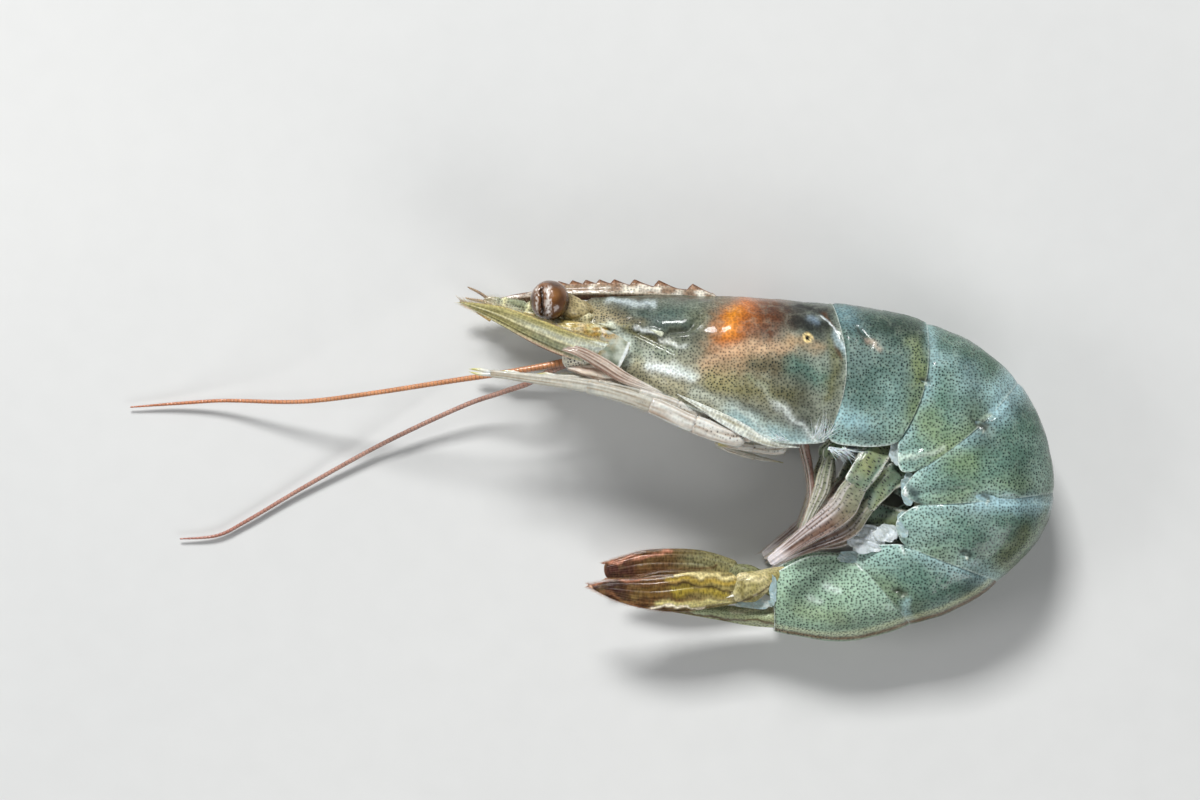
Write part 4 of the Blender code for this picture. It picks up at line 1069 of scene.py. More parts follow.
def makeFlesh(v):
    spots = [(carapaceStations, 0.35 + 5.6 * n / v["carapaceRings"]) for n in range(v["carapaceRings"] + 1)]
    spots += [(abdomenStations, 0.05 + 11.85 * n / v["abdomenRings"]) for n in range(v["abdomenRings"] + 1)]
    cells = []
    for n, (stations, place) in enumerate(spots):
        edge, up, onward, height, (halfWidth, middle, bow, ridge) = sectionAt(stations, place)
        shut = math.sqrt(clamp(n / 5) * clamp((len(spots) - 1 - n) / 5))
        floorLevel = sternumShare * height
        found = halfOutline(height - v["inset"], halfWidth - v["inset"], 0.0, floorLevel * 0.9,
                            v["half"])[0]
        half = [(f[0], f[1]) for f in found]
        low, lowRise = half[-1]
        for k in range(1, v["under"] + 1):
            t = k / v["under"]
            sag = 0.55 * math.sin(math.pi * min(1.6 * t, 1.0))
            half.append((low * (1 - t), lowRise + (0.6 * t - sag) * 0.5))
        ring = half + [(-s, r) for s, r in reversed(half[:-1])]
        for k, (side, rise) in enumerate(ring):
            under = ease(abs(k - v["half"] - v["under"]), v["under"] + 2.0, v["under"] - 2.0)
            lean = bow * math.sin(math.pi * clamp(rise / height))
            wave = 0.35 * math.sin(place * math.tau * (1.0 if stations is abdomenStations else 1.6))
            fold = under * (wave + 0.4 * rough(place * 3, side, 0, 1.3, 4.0))
            rise, side = 0.5 * height + (rise - 0.5 * height) * shut - fold, side * shut
            flat = edge + up * rise + onward * lean
            z = clamp(middle + side, 0.5, topLimit - 0.8)
            colour = hue(122, 122, 100).lerp(hue(190, 192, 168), 0.8 * under)
            # painted shade: darkens the flesh in the hollow between the swimmerets
            paintedHollowShade = bump(math.hypot(flat.x - 42.4, (flat.y + 16.4)), 0.0, 3.4)
            colour = colour.lerp(hue(58, 56, 38), 0.9 * paintedHollowShade)
            colour = colour.lerp(hue(96, 84, 60),
                                 0.5 * ease(place, 1.4, 0.2) * (stations is carapaceStations))
            cells.append(((flat.x, flat.y, z), (place * 6, k * 0.5), colour, 0.0))
    piece = gridPiece("flesh", len(spots) - 1, len(ring) - 1, cells)
    cleanClosed(piece)
    return piece


def lump(t, a, size, seed, amount):
    return amount * noise.noise(Vector((t * size, math.cos(a) * 1.3 + seed, math.sin(a) * 1.3)))


def makeHeadFront():
    # the head's short front, the upper lip and the jaws under it
    tint = lambda t, a: (hue(132, 120, 88).lerp(hue(190, 186, 160), 0.5 + 0.5 * math.sin(9 * t + 2 * a)),
                         0.6)
    path = [(7.0, 7.4, midHeight), (3.0, 8.6, midHeight), (0.0, 9.8, midHeight), (-2.6, 11.2, midHeight)]
    pieces = [sweep("front", path, [4.4, 4.2, 3.4, 1.9], [5.0, 4.7, 4.0, 2.6], {"rings": 60, "sides": 64},
                    lambda t, a: lump(t, a, 7, 2.0, 0.5), tint)]
    for side in (1, -1):
        for number, (x, y, z, size) in enumerate(((4.4, 4.6, 2.6, 1.5), (7.4, 3.0, 3.0, 1.7),
                                                  (1.6, 5.4, 1.6, 1.0),
                                                  (10.6, 2.4, 3.4, 1.5))):
            root = (x + 1.6, y + 1.2, midHeight + side * z)
            tip = (x - 1.4, y - 0.6, midHeight + side * (z + 0.3))
            pieces.append(sweep("jaw", [root, ((root[0] + tip[0]) / 2, y + 0.2, root[2]), tip],
                                [0.7 * size, size, 0.35 * size], [0.45 * size, 0.6 * size, 0.2 * size],
                                {"rings": 26, "sides": 24},
                                lambda t, a, s=number: lump(t, a, 5, s, 0.25) + 0.08 * math.cos(6 * a),
                                tint))
        lip = [(3.4, 4.2, 5.6), (0.4, 4.1, 6.2), (-2.4, 4.4, 5.8), (-4.8, 4.9, 5.0)]
        lipTint = lambda t, a: (hue(222, 206, 188).lerp(hue(180, 154, 136),
                                                        clamp(0.5 + math.sin(5 * a + 3 * t))), 0.2)
        pieces.append(sweep("lip", placed(lip, side), [1.5, 1.3, 0.8, 0.3],
                            [1.0, 1.0, 0.7, 0.3], {"rings": 44, "sides": 30},
                            lambda t, a: lump(t, a, 5, 2.0, 0.25) + 0.06 * math.cos(9 * a), lipTint))
        hips = [(4.0, 2.8, 3.2), (9.0, 0.9, 3.8), (14.0, -1.2, 4.6), (19.0, -3.2, 5.2), (24.0, -5.2, 4.9),
                (29.0, -6.2, 4.2)]
        hipTint = lambda t, a: (hue(230, 232, 224).lerp(
            hue(150, 150, 130), clamp(0.35 + 0.5 * math.sin(70 * t) + 0.3 * math.sin(3 * a))), 0.3)
        pieces.append(sweep("hips", placed(hips, side), [0.8, 1.4, 1.6, 1.6, 1.2, 0.6],
                            [0.7, 0.9, 1.0, 1.0, 0.9, 0.5], {"rings": 120, "sides": 30},
                            lambda t, a: 0.16 * math.sin(70 * t) + lump(t, a, 14, side, 0.3), hipTint))
    return pieces


def makeTissue(name, middle, size, seed, v={"cells": 44, "crumple": 0.13, "wall": 0.12}):
    # a torn, crumpled scrap of wet membrane, almost flat and seen from its broad side
    cells = []
    count = v["cells"]
    for i in range(count + 1):
        for j in range(count + 1):
            a, b = 2 * i / count - 1, 2 * j / count - 1
            reach = 1 / max(1, math.hypot(a, b) / max(abs(a), abs(b), 1e-9)) * (1 + 0.25 * rough(a, b, 0,
                                                                                                 0.6, seed))
            x, y = middle[0] + size[0] * a * reach, middle[1] + size[1] * b * reach
            slant, run = 0.7 * (x - y), 0.7 * (x + y)
            fold = abs(rough(0.55 * slant, run, 0, 1.0, seed)) + 0.35 * abs(rough(0.5 * slant, run, 0, 0.4,
                                                                                  seed + 3))
            lift = v["crumple"] * min(size) * (2.2 * fold - 0.6) * (1 - 0.5 * max(abs(a), abs(b)) ** 2)
            colour = hue(226, 234, 234).lerp(hue(164, 190, 190), ease(min(size), 1.35, 1.25))
            # painted shade: greyer in the creases of the crumples
            colour = colour.lerp(hue(142, 152, 138), 0.8 * clamp(0.75 - 2.4 * fold))
            cells.append(((x, y, middle[2] + lift), (x, y), colour, 0.0))
    piece = gridPiece(name, count, count, cells)
    giveWall(piece, v["wall"])
    return piece


tissueSpots = [((39.6, -20.8, 14.0), (2.8, 2.1)), ((42.6, -19.8, 14.4), (2.0, 1.4)),
               ((45.6, -13.2, 17.0), (1.2, 2.3)),
               ((45.0, -18.4, 16.2), (1.1, 1.9)), ((44.0, -7.8, 16.8), (1.3, 1.7)),
               ((37.4, -23.4, 12.6), (2.0, 0.9)),
               ((25.9, -28.4, 10.8), (0.6, 2.3)), ((23.4, -30.6, 9.6), (3.2, 0.7))]


tissues = [makeTissue("tissue", middle, size, 3.0 * k + 1) for k, (middle, size) in enumerate(tissueSpots)]
fleshPiece = joined("fleshSkin", [makeFlesh(fleshBody), *makeHeadFront(), *tissues])
dress(fleshPiece, fleshLook, ["head"])
print("flesh made:", len(fleshPiece.data.polygons), "faces")


# Eyes

eyeParts = {"radius": 3.02, "centre": (-7.4, 14.75, 6.1),
            "stalk": [(3.6, 11.4, 0.2), (0.8, 11.9, 1.0), (-2.0, 12.8, 2.4), (-4.2, 13.6, 4.4),
                      (-6.2, 14.4, 5.2)],
            "stalkRadii": [1.2, 1.5, 1.6, 1.75, 1.9]}


def makeEye(sideName, side, v):
    centre, *stalk = placed([v["centre"], *v["stalk"]], side)
    axis = (centre - stalk[1]).normalized()
    deselect()
    bpy.ops.mesh.primitive_uv_sphere_add(segments=128, ring_count=88, radius=v["radius"] * millimetre,
                                         location=metres(centre))
    ball = bpy.context.object
    bpy.ops.object.transform_apply(location=True, rotation=True, scale=True)
    middle = metres(centre)
    for corner in ball.data.vertices:
        way = (corner.co - middle) / (v["radius"] * millimetre)
        facing = way.dot(axis)
        above = ease(way.z * side, 0.2, 0.55) * ease(abs(way.y), 0.85, 0.5)
        jag = 0.07 * rough(0, way.y, side, 0.22, 3.0) + 0.1 * rough(0, way.y, side, 0.6, 5.0)
        lift = -0.012 - 0.3 * ease(-facing, 0.55, 0.95) - 0.06 * bump(facing, -0.5, 0.1)
        lift -= 0.17 * bump(way.x, -0.42 + jag, 0.075) * above
        lift -= 0.07 * bump(way.x, -0.02 + jag, 0.12) * above
        lift += 0.03 * bump(way.x, -0.22 + 0.5 * jag, 0.05) * above
        crumple = rough(way.x * 2.2, way.y, side, 0.2, 9.0)
        lift += 0.035 * crumple * above * bump(way.x, -0.12, 0.26)
        lift += 0.012 * rough(*way, 0.5, 2.0)
        corner.co = middle + way * (v["radius"] * millimetre * (1 + lift))

    def corneaTint(x, y, z):
        # brown, with painted highlights as pale crumpled film in the collapsed creases and painted shade in
        # the cleft between them
        way = (Vector((x, y, z)) - centre) / v["radius"]
        facing = way.dot(axis)
        above = ease(way.z * side, 0.1, 0.4) * ease(abs(way.y + 0.05), 0.85, 0.6)
        jag = 0.07 * rough(0, way.y, side, 0.22, 3.0) + 0.1 * rough(0, way.y, side, 0.6, 5.0)
        colour = hue(64, 36, 14).lerp(hue(122, 76, 34), 0.7 * clamp(0.5 + 1.2 * rough(*way, 0.7, 7.0)))
        # a painted highlight on the smooth side
        colour = colour.lerp(hue(140, 98, 58), 0.6 * bump(way.x, 0.3, 0.25) * bump(way.y, 0.3, 0.3) * above)
        flake = clamp(0.75 + 1.9 * rough(way.x * 1.5, way.y, side, 0.12, 6.0))
        # painted highlights where the collapsed creases catch the light, as pale crumpled film
        creaseGlint = 1.3 * bump(way.x, -0.08 + jag, 0.13) + 0.9 * bump(way.x, -0.64 + 0.6 * jag, 0.07)
        colour = colour.lerp(hue(208, 200, 192), clamp(creaseGlint) * flake * above)
        # painted shade in the cleft
        colour = colour.lerp(hue(20, 12, 8), 0.95 * bump(way.x, -0.38 + jag, 0.1) * above)
        return colour.lerp(hue(34, 22, 16), 0.7 * ease(-facing, 0.25, 0.6)), 0.0

    def stalkTint(t, a):
        colour = hue(158, 144, 108).lerp(hue(112, 100, 68),
                                         clamp(0.5 + 1.5 * rough(t * 5, a, side, 0.7, 4.0)))
        # a painted highlight near the eye
        colour = colour.lerp(hue(196, 182, 140), 0.7 * bump(t, 0.74, 0.1))
        return colour.lerp(hue(72, 54, 36), 0.8 * ease(t, 0.84, 0.95)), 0.8

    paint(ball, corneaTint)
    stem = sweep("eyeStalk" + sideName.capitalize(), stalk, v["stalkRadii"], v["stalkRadii"],
                 {"rings": 60, "sides": 48}, lambda t,
                 a: lump(t, a, 5, side, 0.4) + 0.1 * bump(t, 0.8, 0.04), stalkTint)
    dress(stem, bladeLook)
    dress(joined("eye" + sideName.capitalize(), [ball]), eyeLook, ["eye_" + sideName])


for sideName, side in sides:
    makeEye(sideName, side, eyeParts)
print("eyes made")


# Antennules, antenna bases and scales

def jointed(t, joints, pinch, cuff):
    return sum(cuff * bump(t, joint - 0.03, 0.022) - pinch * bump(t, joint, 0.012) for joint in joints)


antennule = {"path": [(0.0, 9.8, 1.6), (-4.2, 10.6, 1.9), (-8.0, 12.0, 2.2), (-12.0, 13.6, 2.3),
                      (-17.4, 14.9, 2.3)],
             "radii": [1.1, 1.3, 1.4, 1.35, 0.6], "joints": (0.42, 0.66, 0.86),
             "cheek": [(3.4, 9.4, 3.6), (-0.6, 9.6, 5.4), (-3.8, 10.2, 5.9), (-7.4, 11.3, 5.5),
                       (-11.4, 12.9, 4.0)],
             "cheekSizes": [1.1, 1.6, 1.45, 1.05, 0.3],
             "web": [(3.0, 11.0, 1.8), (0.0, 11.2, 3.2), (-2.6, 11.9, 4.6), (-5.6, 12.7, 5.4)],
             "webSizes": [0.8, 1.1, 1.3, 0.7],
             "whipTips": [(-19.8, 16.9, 2.9), (-20.2, 15.3, 1.7)]}


def makeAntennule(sideName, side, v):
    path = placed(v["path"], side)

    def relief(t, a):
        groove = -0.28 * bump(math.sin(a), 1.0, 0.12) * ease(t, 0.1, 0.3)
        return jointed(t, v["joints"], 0.22, 0.14) + groove + lump(t, a, 8, side, 0.12)

    def tint(t, a):
        colour = hue(170, 172, 150).lerp(hue(124, 130, 106), clamp(0.5 + math.sin(2 * a + 9 * t)))
        edge = max(bump(t, joint - 0.03, 0.02) for joint in v["joints"])
        return colour.lerp(hue(206, 202, 160), 0.8 * edge).lerp(hue(150, 112, 84),
                                                                0.5 * ease(t, 0.85, 1.0)), 1.0

    pieces = [sweep("stem", path, v["radii"], [0.82 * r for r in v["radii"]], {"rings": 120, "sides": 40},
                    relief, tint)]

    def cheekTint(t, a):
        # ochre mottling with a row of dark dots, a pale strip above it as a painted highlight and painted
        # shade in the hollow under the eye
        c = math.cos(a) * -side
        colour = hue(164, 148, 88).lerp(hue(206, 204, 176),
                                        clamp(0.45 + 1.5 * rough(t * 8, 2 * c, side, 0.7, 2.0)))
        stain = clamp(0.6 + 1.7 * rough(t * 14, 3 * c, side, 0.8, 7.0))
        colour = colour.lerp(hue(156, 118, 44), 0.85 * bump(t, 0.3, 0.18) * ease(c, 0.5, -0.1) * stain)
        # a painted highlight: the pale strip
        colour = colour.lerp(hue(232, 234, 222), 0.85 * bump(c, 0.5, 0.16) * bump(t, 0.4, 0.18))
        # painted shade in the hollow under the eye
        colour = colour.lerp(hue(34, 24, 14), 0.9 * bump(t, 0.6, 0.1) * ease(c, 0.35, 0.7))
        dotRow = bump(c, 0.16, 0.07) * ease(t, 0.12, 0.2) * ease(math.sin(t * 210), -0.1, 0.4)
        return colour.lerp(hue(30, 32, 24), 0.9 * dotRow * ease(t, 0.85, 0.75)), 0.7

    pieces.append(sweep("cheek", placed(v["cheek"], side), v["cheekSizes"],
                        [0.8 * r for r in v["cheekSizes"]],
                        {"rings": 150, "sides": 56}, lambda t, a: lump(t, a, 6, side + 4, 0.22), cheekTint))

    def webTint(t, a):
        colour = hue(198, 192, 158).lerp(hue(128, 120, 86),
                                         clamp(0.45 + 1.6 * rough(t * 7, 1.5 * math.cos(a), side, 0.7,
                                                                  5.0)))
        return colour.lerp(hue(112, 116, 92), 0.6 * ease(t, 0.35, 0.1)), 0.9

    pieces.append(sweep("web", placed(v["web"], side), v["webSizes"], [0.45 * r for r in v["webSizes"]],
                        {"rings": 90, "sides": 48},
                        lambda t, a: lump(t, a, 6, side + 2, 0.2), webTint))
    before, end = path[-2:]
    for number, tip in enumerate(placed(v["whipTips"], side)):
        root = end + 0.25 * (before - end)
        whip = [root, root.lerp(tip, 0.5) + Vector((0, 0.25 - 0.3 * number, 0)), tip]
        pieces.append(sweep("whip", whip, [0.26, 0.2, 0.08], [0.24, 0.18, 0.08], {"rings": 60, "sides": 12},
                            lambda t, a: 0.03 * math.sin(math.tau * 13 * t), lambda t,
                            a: (hue(150, 130, 110), 0.4)))
    hairs = fringe(path, v["radii"], (0, 0, 1), -1, (0.3, 0.95), 46, 1.0, 0.55, 11 + side)
    hairs += fringe(path, v["radii"], (0, 0, 1), 1, (0.5, 0.98), 34, 0.9, 0.6, 17 + side)
    hairPiece("antennuleHairs" + sideName.capitalize(), hairs, 0.03, hue(196, 184, 150))
    return dress(joined("antennule" + sideName.capitalize(), pieces), bladeLook,
                 ["antennule_" + sideName])


antennaBase = {"path": [(8.4, 7.6, 3.4), (3.6, 7.0, 4.2), (-0.2, 6.8, 5.2), (-2.8, 6.2, 5.4),
                        (-5.6, 5.8, 4.8)],
               "heights": [1.8, 2.0, 1.8, 1.15, 0.9], "widths": [1.0, 1.0, 1.1, 1.05, 0.8],
               "joints": (0.64, 0.8),
               "plate": [(-2.0, 11.4, 5.8), (4.5, 8.4, 7.25), (2.7, 4.5, 7.0), (-3.4, 6.6, 6.3)],
               "cells": 60}


def makePlate(corners, count, side):
    # the thin pale plate with a sharp rear corner that lies over the front rim of the shell
    topLeft, topRight, lowRight, lowLeft = placed(corners, side)
    cells = []
    for i in range(count + 1):
        for j in range(count + 1):
            s, t = i / count, j / count
            point = lowLeft.lerp(lowRight, s).lerp(topLeft.lerp(topRight, s), t)
            point += Vector((0.2 * math.sin(math.pi * t) * s, 0.35 * math.sin(math.pi * s) * (2 * t - 1),
                             0))
            point += Vector((0, 0, side * (0.45 * math.sin(math.pi * s) * math.sin(math.pi * t)
                                           + 0.1 * rough(point.x, point.y, side, 1.2, 3.0)
                                           - 1.6 * ease(s, 0.25, 0.0))))
            cells.append((point, (point.x, point.y), hue(200, 200, 190), 0.5))
    plate = gridPiece("plate", count, count, cells)
    if plate.data.polygons[0].normal.z * side < 0:
        flipFaces(plate)
    giveWall(plate, 0.16, 0.04)
    return plate


def makeAntennaBase(sideName, side, v):
    path = placed(v["path"], side)

    def relief(t, a):
        return jointed(t, v["joints"], 0.14, 0.1) + lump(t, a, 4, side, 0.3)

    def tint(t, a):
        # bluish white, ochre mottling along its upper side, and dark dots on the segment of the feeler
        c = math.cos(a) * -side
        colour = hue(222, 230, 222).lerp(hue(158, 168, 154),
                                         clamp(0.3 + 1.4 * rough(t * 7, c * 1.5, side, 0.7, 4.0)))
        ochre = bump(t, 0.4, 0.13) * ease(c, -0.1,
                                          0.4) * clamp(0.6 + 1.8 * rough(t * 16, c * 3, side, 0.8, 6.0))
        colour = colour.lerp(hue(156, 118, 36), 0.9 * ochre)
        colour = colour.lerp(hue(222, 218, 200), 0.8 * ease(t, 0.7, 0.78))
        return colour, 0.25 + 0.9 * ochre + 0.9 * ease(t, 0.7, 0.78) * ease(t, 1.0, 0.9)

    def plateTint(x, y, z):
        colour = hue(178, 184, 170).lerp(hue(112, 122, 104),
                                         clamp(0.35 + 1.4 * rough(x, y, side, 1.3, 4.0)))
        stain = clamp(0.5 + 1.7 * rough(x, y, side, 0.9, 6.0)) * ease(x - 0.8 * y, -3.6, -6.6)
        colour = colour.lerp(hue(160, 126, 50), 0.9 * stain)
        return colour.lerp(hue(238, 242, 238),
                           0.8 * ease(x + 0.45 * (8.4 - y), 3.9, 4.3)), 0.2 + 0.8 * stain

    piece = sweep("base", path, v["heights"], v["widths"], {"rings": 110, "sides": 56}, relief, tint)
    plate = makePlate(v["plate"], v["cells"], side)
    paint(plate, plateTint)
    return dress(joined("antennaBase" + sideName.capitalize(), [piece, plate]), limbLook,
                 ["antenna_base_" + sideName])


antennaScale = {"path": [(6.0, 6.2, 4.4), (1.4, 6.7, 6.0), (-4.0, 8.0, 7.2), (-9.2, 10.1, 7.4),
                         (-15.0, 12.7, 6.8),
                         (-20.9, 14.6, 5.6)],
                "widths": [1.6, 1.95, 2.05, 1.95, 1.3, 0.0], "depths": [0.25, 0.35, 0.45, 0.45, 0.4, 0.0],
                "facing": (-0.2, -0.35, 0.9), "ribs": (0.8, 0.42, -0.05, -0.5)}


def makeScale(sideName, side, v):
    path = placed(v["path"], side)
    thin = (v["facing"][0], v["facing"][1], side * v["facing"][2])
    outer = -side  # the sign of the edge that carries the stout rib

    def relief(t, a):
        c = math.cos(a) * outer
        ribs = 0.14 * bump(c, v["ribs"][0], 0.12) + 0.08 * bump(c, v["ribs"][1], 0.07)
        ribs += 0.12 * bump(c, v["ribs"][2], 0.08) + 0.05 * bump(c, v["ribs"][3], 0.07)
        return (ribs - 0.1 * bump(c, 0.62, 0.08)) * ease(t, 1.0, 0.85) * ease(t, 0.0, 0.1)

    def tint(t, a):
        c = math.cos(a) * outer
        streak = clamp(0.5 + 1.1 * rough(t * 3, 9 * c, side, 0.9, 3.0))
        colour = hue(118, 112, 70).lerp(hue(162, 156, 108), streak)
        colour = colour.lerp(hue(128, 134, 112), 0.8 * ease(t, 0.72, 0.5) * bump(c, 0.35, 0.4))
        colour = colour.lerp(hue(196, 200, 182), 0.75 * bump(c, -0.3, 0.22) * ease(t, 0.8, 0.5))
        colour = colour.lerp(hue(214, 222, 212),
                             0.9 * ease(t, 0.46, 0.22) * clamp(0.7 + 0.9 * rough(t * 9, 3 * c, side, 0.8,
                                                                                 1.0)))
        colour = colour.lerp(hue(84, 80, 50),
                             0.6 * max(bump(c, 0.62, 0.05), bump(c, 0.3, 0.04)) * ease(t, 0.15, 0.4))
        colour = colour.lerp(hue(214, 208, 172),
                             0.55 * max(bump(c, v["ribs"][0], 0.09), bump(c, v["ribs"][2], 0.08)))
        pink = ease(c, 0.6, 0.9) * ease(t, 0.3, 0.4) * ease(t, 0.72, 0.6)
        colour = colour.lerp(hue(190, 150, 138), 0.75 * pink)
        colour = colour.lerp(hue(164, 150, 92), 0.7 * ease(-c, 0.8, 0.95))
        colour = colour.lerp(hue(70, 54, 36), 0.6 * ease(c, 0.93, 1.0) * ease(t, 0.2, 0.4))
        return colour, 0.15 + 0.5 * clamp(rough(t * 6, c * 2, side, 0.8, 11.0) + 0.2)

    blade = sweep("blade", path, v["widths"], v["depths"],
                  {"rings": 150, "sides": 96, "thin": thin, "power": 0.9},
                  relief, tint)
    spikeRoot, ahead, widthWay, depthWay = frameAlong(path, 4.2, thin)
    spikeRoot = spikeRoot + widthWay * (outer * 1.2)
    spike = sweep("spike", [spikeRoot, spikeRoot + ahead * 2.2 - widthWay * outer * 0.3], [0.32, 0.0],
                  [0.3, 0.0],
                  {"rings": 16, "sides": 14, "thin": thin}, None, lambda t, a: (hue(176, 150, 104), 0.1))
    hairs = fringe(path, v["widths"], thin, -outer, (0.12, 0.99), 260, 1.15, 0.5, 5 + side)
    hairs += fringe(path, v["widths"], thin, outer, (0.84, 0.99), 40, 0.9, 0.7, 9 + side)
    hairPiece("scaleHairs" + sideName.capitalize(), hairs, 0.032, hue(198, 176, 140))
    return dress(joined("scale" + sideName.capitalize(), [blade, spike]), bladeLook,
                 ["antenna_scale_" + sideName])


palp = {"path": [(-6.8, 7.9, 6.9), (-3.2, 7.2, 7.8), (0.4, 5.3, 7.8), (3.8, 3.2, 7.5), (9.2, 1.0, 6.9)],
        "widths": [0.15, 0.7, 0.9, 0.8, 0.1], "depths": [0.1, 0.2, 0.24, 0.22, 0.08]}


def makePalp(sideName, side, v):
    # the ribbed flap that slants over the base of the scale
    path = placed(v["path"], side)

    def relief(t, a):
        return 0.05 * math.cos(12 * math.cos(a)) + 0.08 * bump(math.cos(a), 0.85 * side, 0.12)

    def tint(t, a):
        c = math.cos(a)
        line = clamp(0.5 + 0.4 * math.cos(12 * c) + 1.2 * rough(t * 3, c * 4, side, 1, 2.0))
        colour = hue(132, 106, 92).lerp(hue(196, 182, 168), line)
        return colour.lerp(hue(222, 218, 208), 0.8 * ease(t, 0.6, 1.0)), 0.1

    piece = sweep("palp" + sideName.capitalize(), path, v["widths"], v["depths"],
                  {"rings": 110, "sides": 56}, relief, tint)
    return dress(piece, limbLook)


feelers = {"left": [(-4.4, 5.8, 4.4), (-9.0, 4.9, 5.0), (-15.0, 3.9, 4.4), (-22.5, 2.8, 2.6),
                    (-33.0, 1.2, -0.6),
                    (-42.0, 0.0, -3.6), (-48.0, -0.3, -5.4), (-57.0, -0.1, -7.4), (-64.0, -0.5, -8.4),
                    (-71.8, -1.1, -8.8)],
           "right": [(-4.4, 5.8, -4.4), (-7.4, 4.4, -2.6), (-10.9, 2.5, -2.6), (-15.0, 1.1, -4.2),
                     (-21.0, -1.0, -5.8), (-33.0, -6.6, -7.6), (-45.0, -13.2, -8.5), (-54.0, -18.5, -8.7),
                     (-58.5, -20.7, -8.8), (-64.2, -21.2, -8.8)],
           "radii": [0.62, 0.5, 0.44, 0.4, 0.37, 0.35, 0.32, 0.28, 0.25, 0.1], "ringLength": 0.6,
           # each pair is the shaded and the lit tone of one feeler, for painted shade and painted highlight
           "tints": {"left": (hue(124, 68, 40), hue(184, 126, 84)),
                     "right": (hue(88, 58, 50), hue(160, 122, 106))}}


def makeFeeler(sideName, v):
    path = placed(v[sideName], 1)
    length = sum((b - a).length for a, b in zip(path, path[1:]))
    dark, pale = v["tints"][sideName]

    def relief(t, a):
        phase = (t * length / v["ringLength"]) % 1.0
        return 0.035 * math.sin(math.pi * phase) - 0.02

    def tint(t, a):
        # the upper side is painted paler as a highlight and the lower side darker as shade
        litShare = clamp(0.5 + 0.5 * math.sin(a) + 0.4 * rough(t * 40, a, 0, 1.0, 3.0))
        return dark.lerp(pale, litShare).lerp(hue(150, 60, 30), 0.4 * ease(t, 0.5, 1.0)), 0.0

    piece = sweep("feeler" + sideName.capitalize(), path, v["radii"], v["radii"],
                  {"rings": int(length / 0.12), "sides": 14, "crowd": 0.0}, relief, tint)
    return dress(piece, feelerLook, ["antenna_" + sideName])


for sideName, side in sides:
    makeAntennule(sideName, side, antennule)
    makeAntennaBase(sideName, side, antennaBase)
    makeScale(sideName, side, antennaScale)
    makePalp(sideName, side, palp)
    makeFeeler(sideName, feelers)
print("feelers and scales made")


# Legs

legs = {
    "maxilliped": [(11.8, 4.6, 2.2), (12.4, -0.2, 3.2), (7.5, 1.6, 4.0), (0.0, 3.0, 4.0), (-6.0, 3.8, 3.4)],
    "leg_1": [(15.0, 3.4, 3.4), (15.4, -1.6, 4.8), (11.0, -0.3, 5.4), (6.0, 1.5, 5.6), (0.0, 2.7, 5.4),
              (-6.8, 3.4, 5.0)],
    "leg_2": [(18.4, 2.2, 4.0), (18.4, -3.2, 6.2), (11.5, -1.0, 6.9), (5.8, 0.9, 7.0), (0.0, 2.2, 6.9),
              (-12.2, 3.7, 6.4)],
    "leg_3": [(22.0, 0.8, 4.4), (21.2, -5.4, 7.3), (14.0, -3.6, 7.9), (7.6, -0.8, 7.9), (-1.5, 1.9, 7.7),
              (-16.6, 4.0, 7.2)],
    "leg_4": [(26.0, -1.0, 3.8), (27.4, -6.9, 4.5), (22.8, -7.1, 4.8), (17.5, -6.3, 4.6)],
    "leg_5": [(29.4, -2.0, 4.0), (30.6, -7.2, 4.2), (31.4, -11.0, 3.4), (31.5, -15.0, 2.8),
              (30.0, -19.2, 2.4)]}
foldedEnd = [(17.6, -6.4, 4.5), (19.2, -7.4, 3.4), (23.0, -8.5, 2.8), (27.4, -9.4, 2.6)]
legShape = {"sizes": {"maxilliped": [1.1, 1.1, 1.0, 0.7, 0.05], "leg_1": [1.1, 1.15, 1.1, 0.95, 0.75, 0.45],
                      "leg_2": [1.1, 1.2, 1.15, 1.0, 0.8, 0.45], "leg_3": [1.1, 1.3, 1.35, 1.2, 0.95, 0.52],
                      "leg_4": [1.0, 0.8, 0.65, 0.5], "leg_5": [0.9, 0.6, 0.45, 0.36, 0.05]},
            "flatness": {"maxilliped": 0.5, "leg_1": 0.42, "leg_2": 0.42, "leg_3": 0.36, "leg_4": 0.7,
                         "leg_5": 0.7},
            "fingerLength": 3.4, "fingerSpread": 0.22, "clawed": ("leg_1", "leg_2", "leg_3"),
            "cream": hue(208, 209, 202), "blush": hue(158, 140, 122), "tip": hue(178, 172, 92),
            "rust": hue(120, 62, 42)}


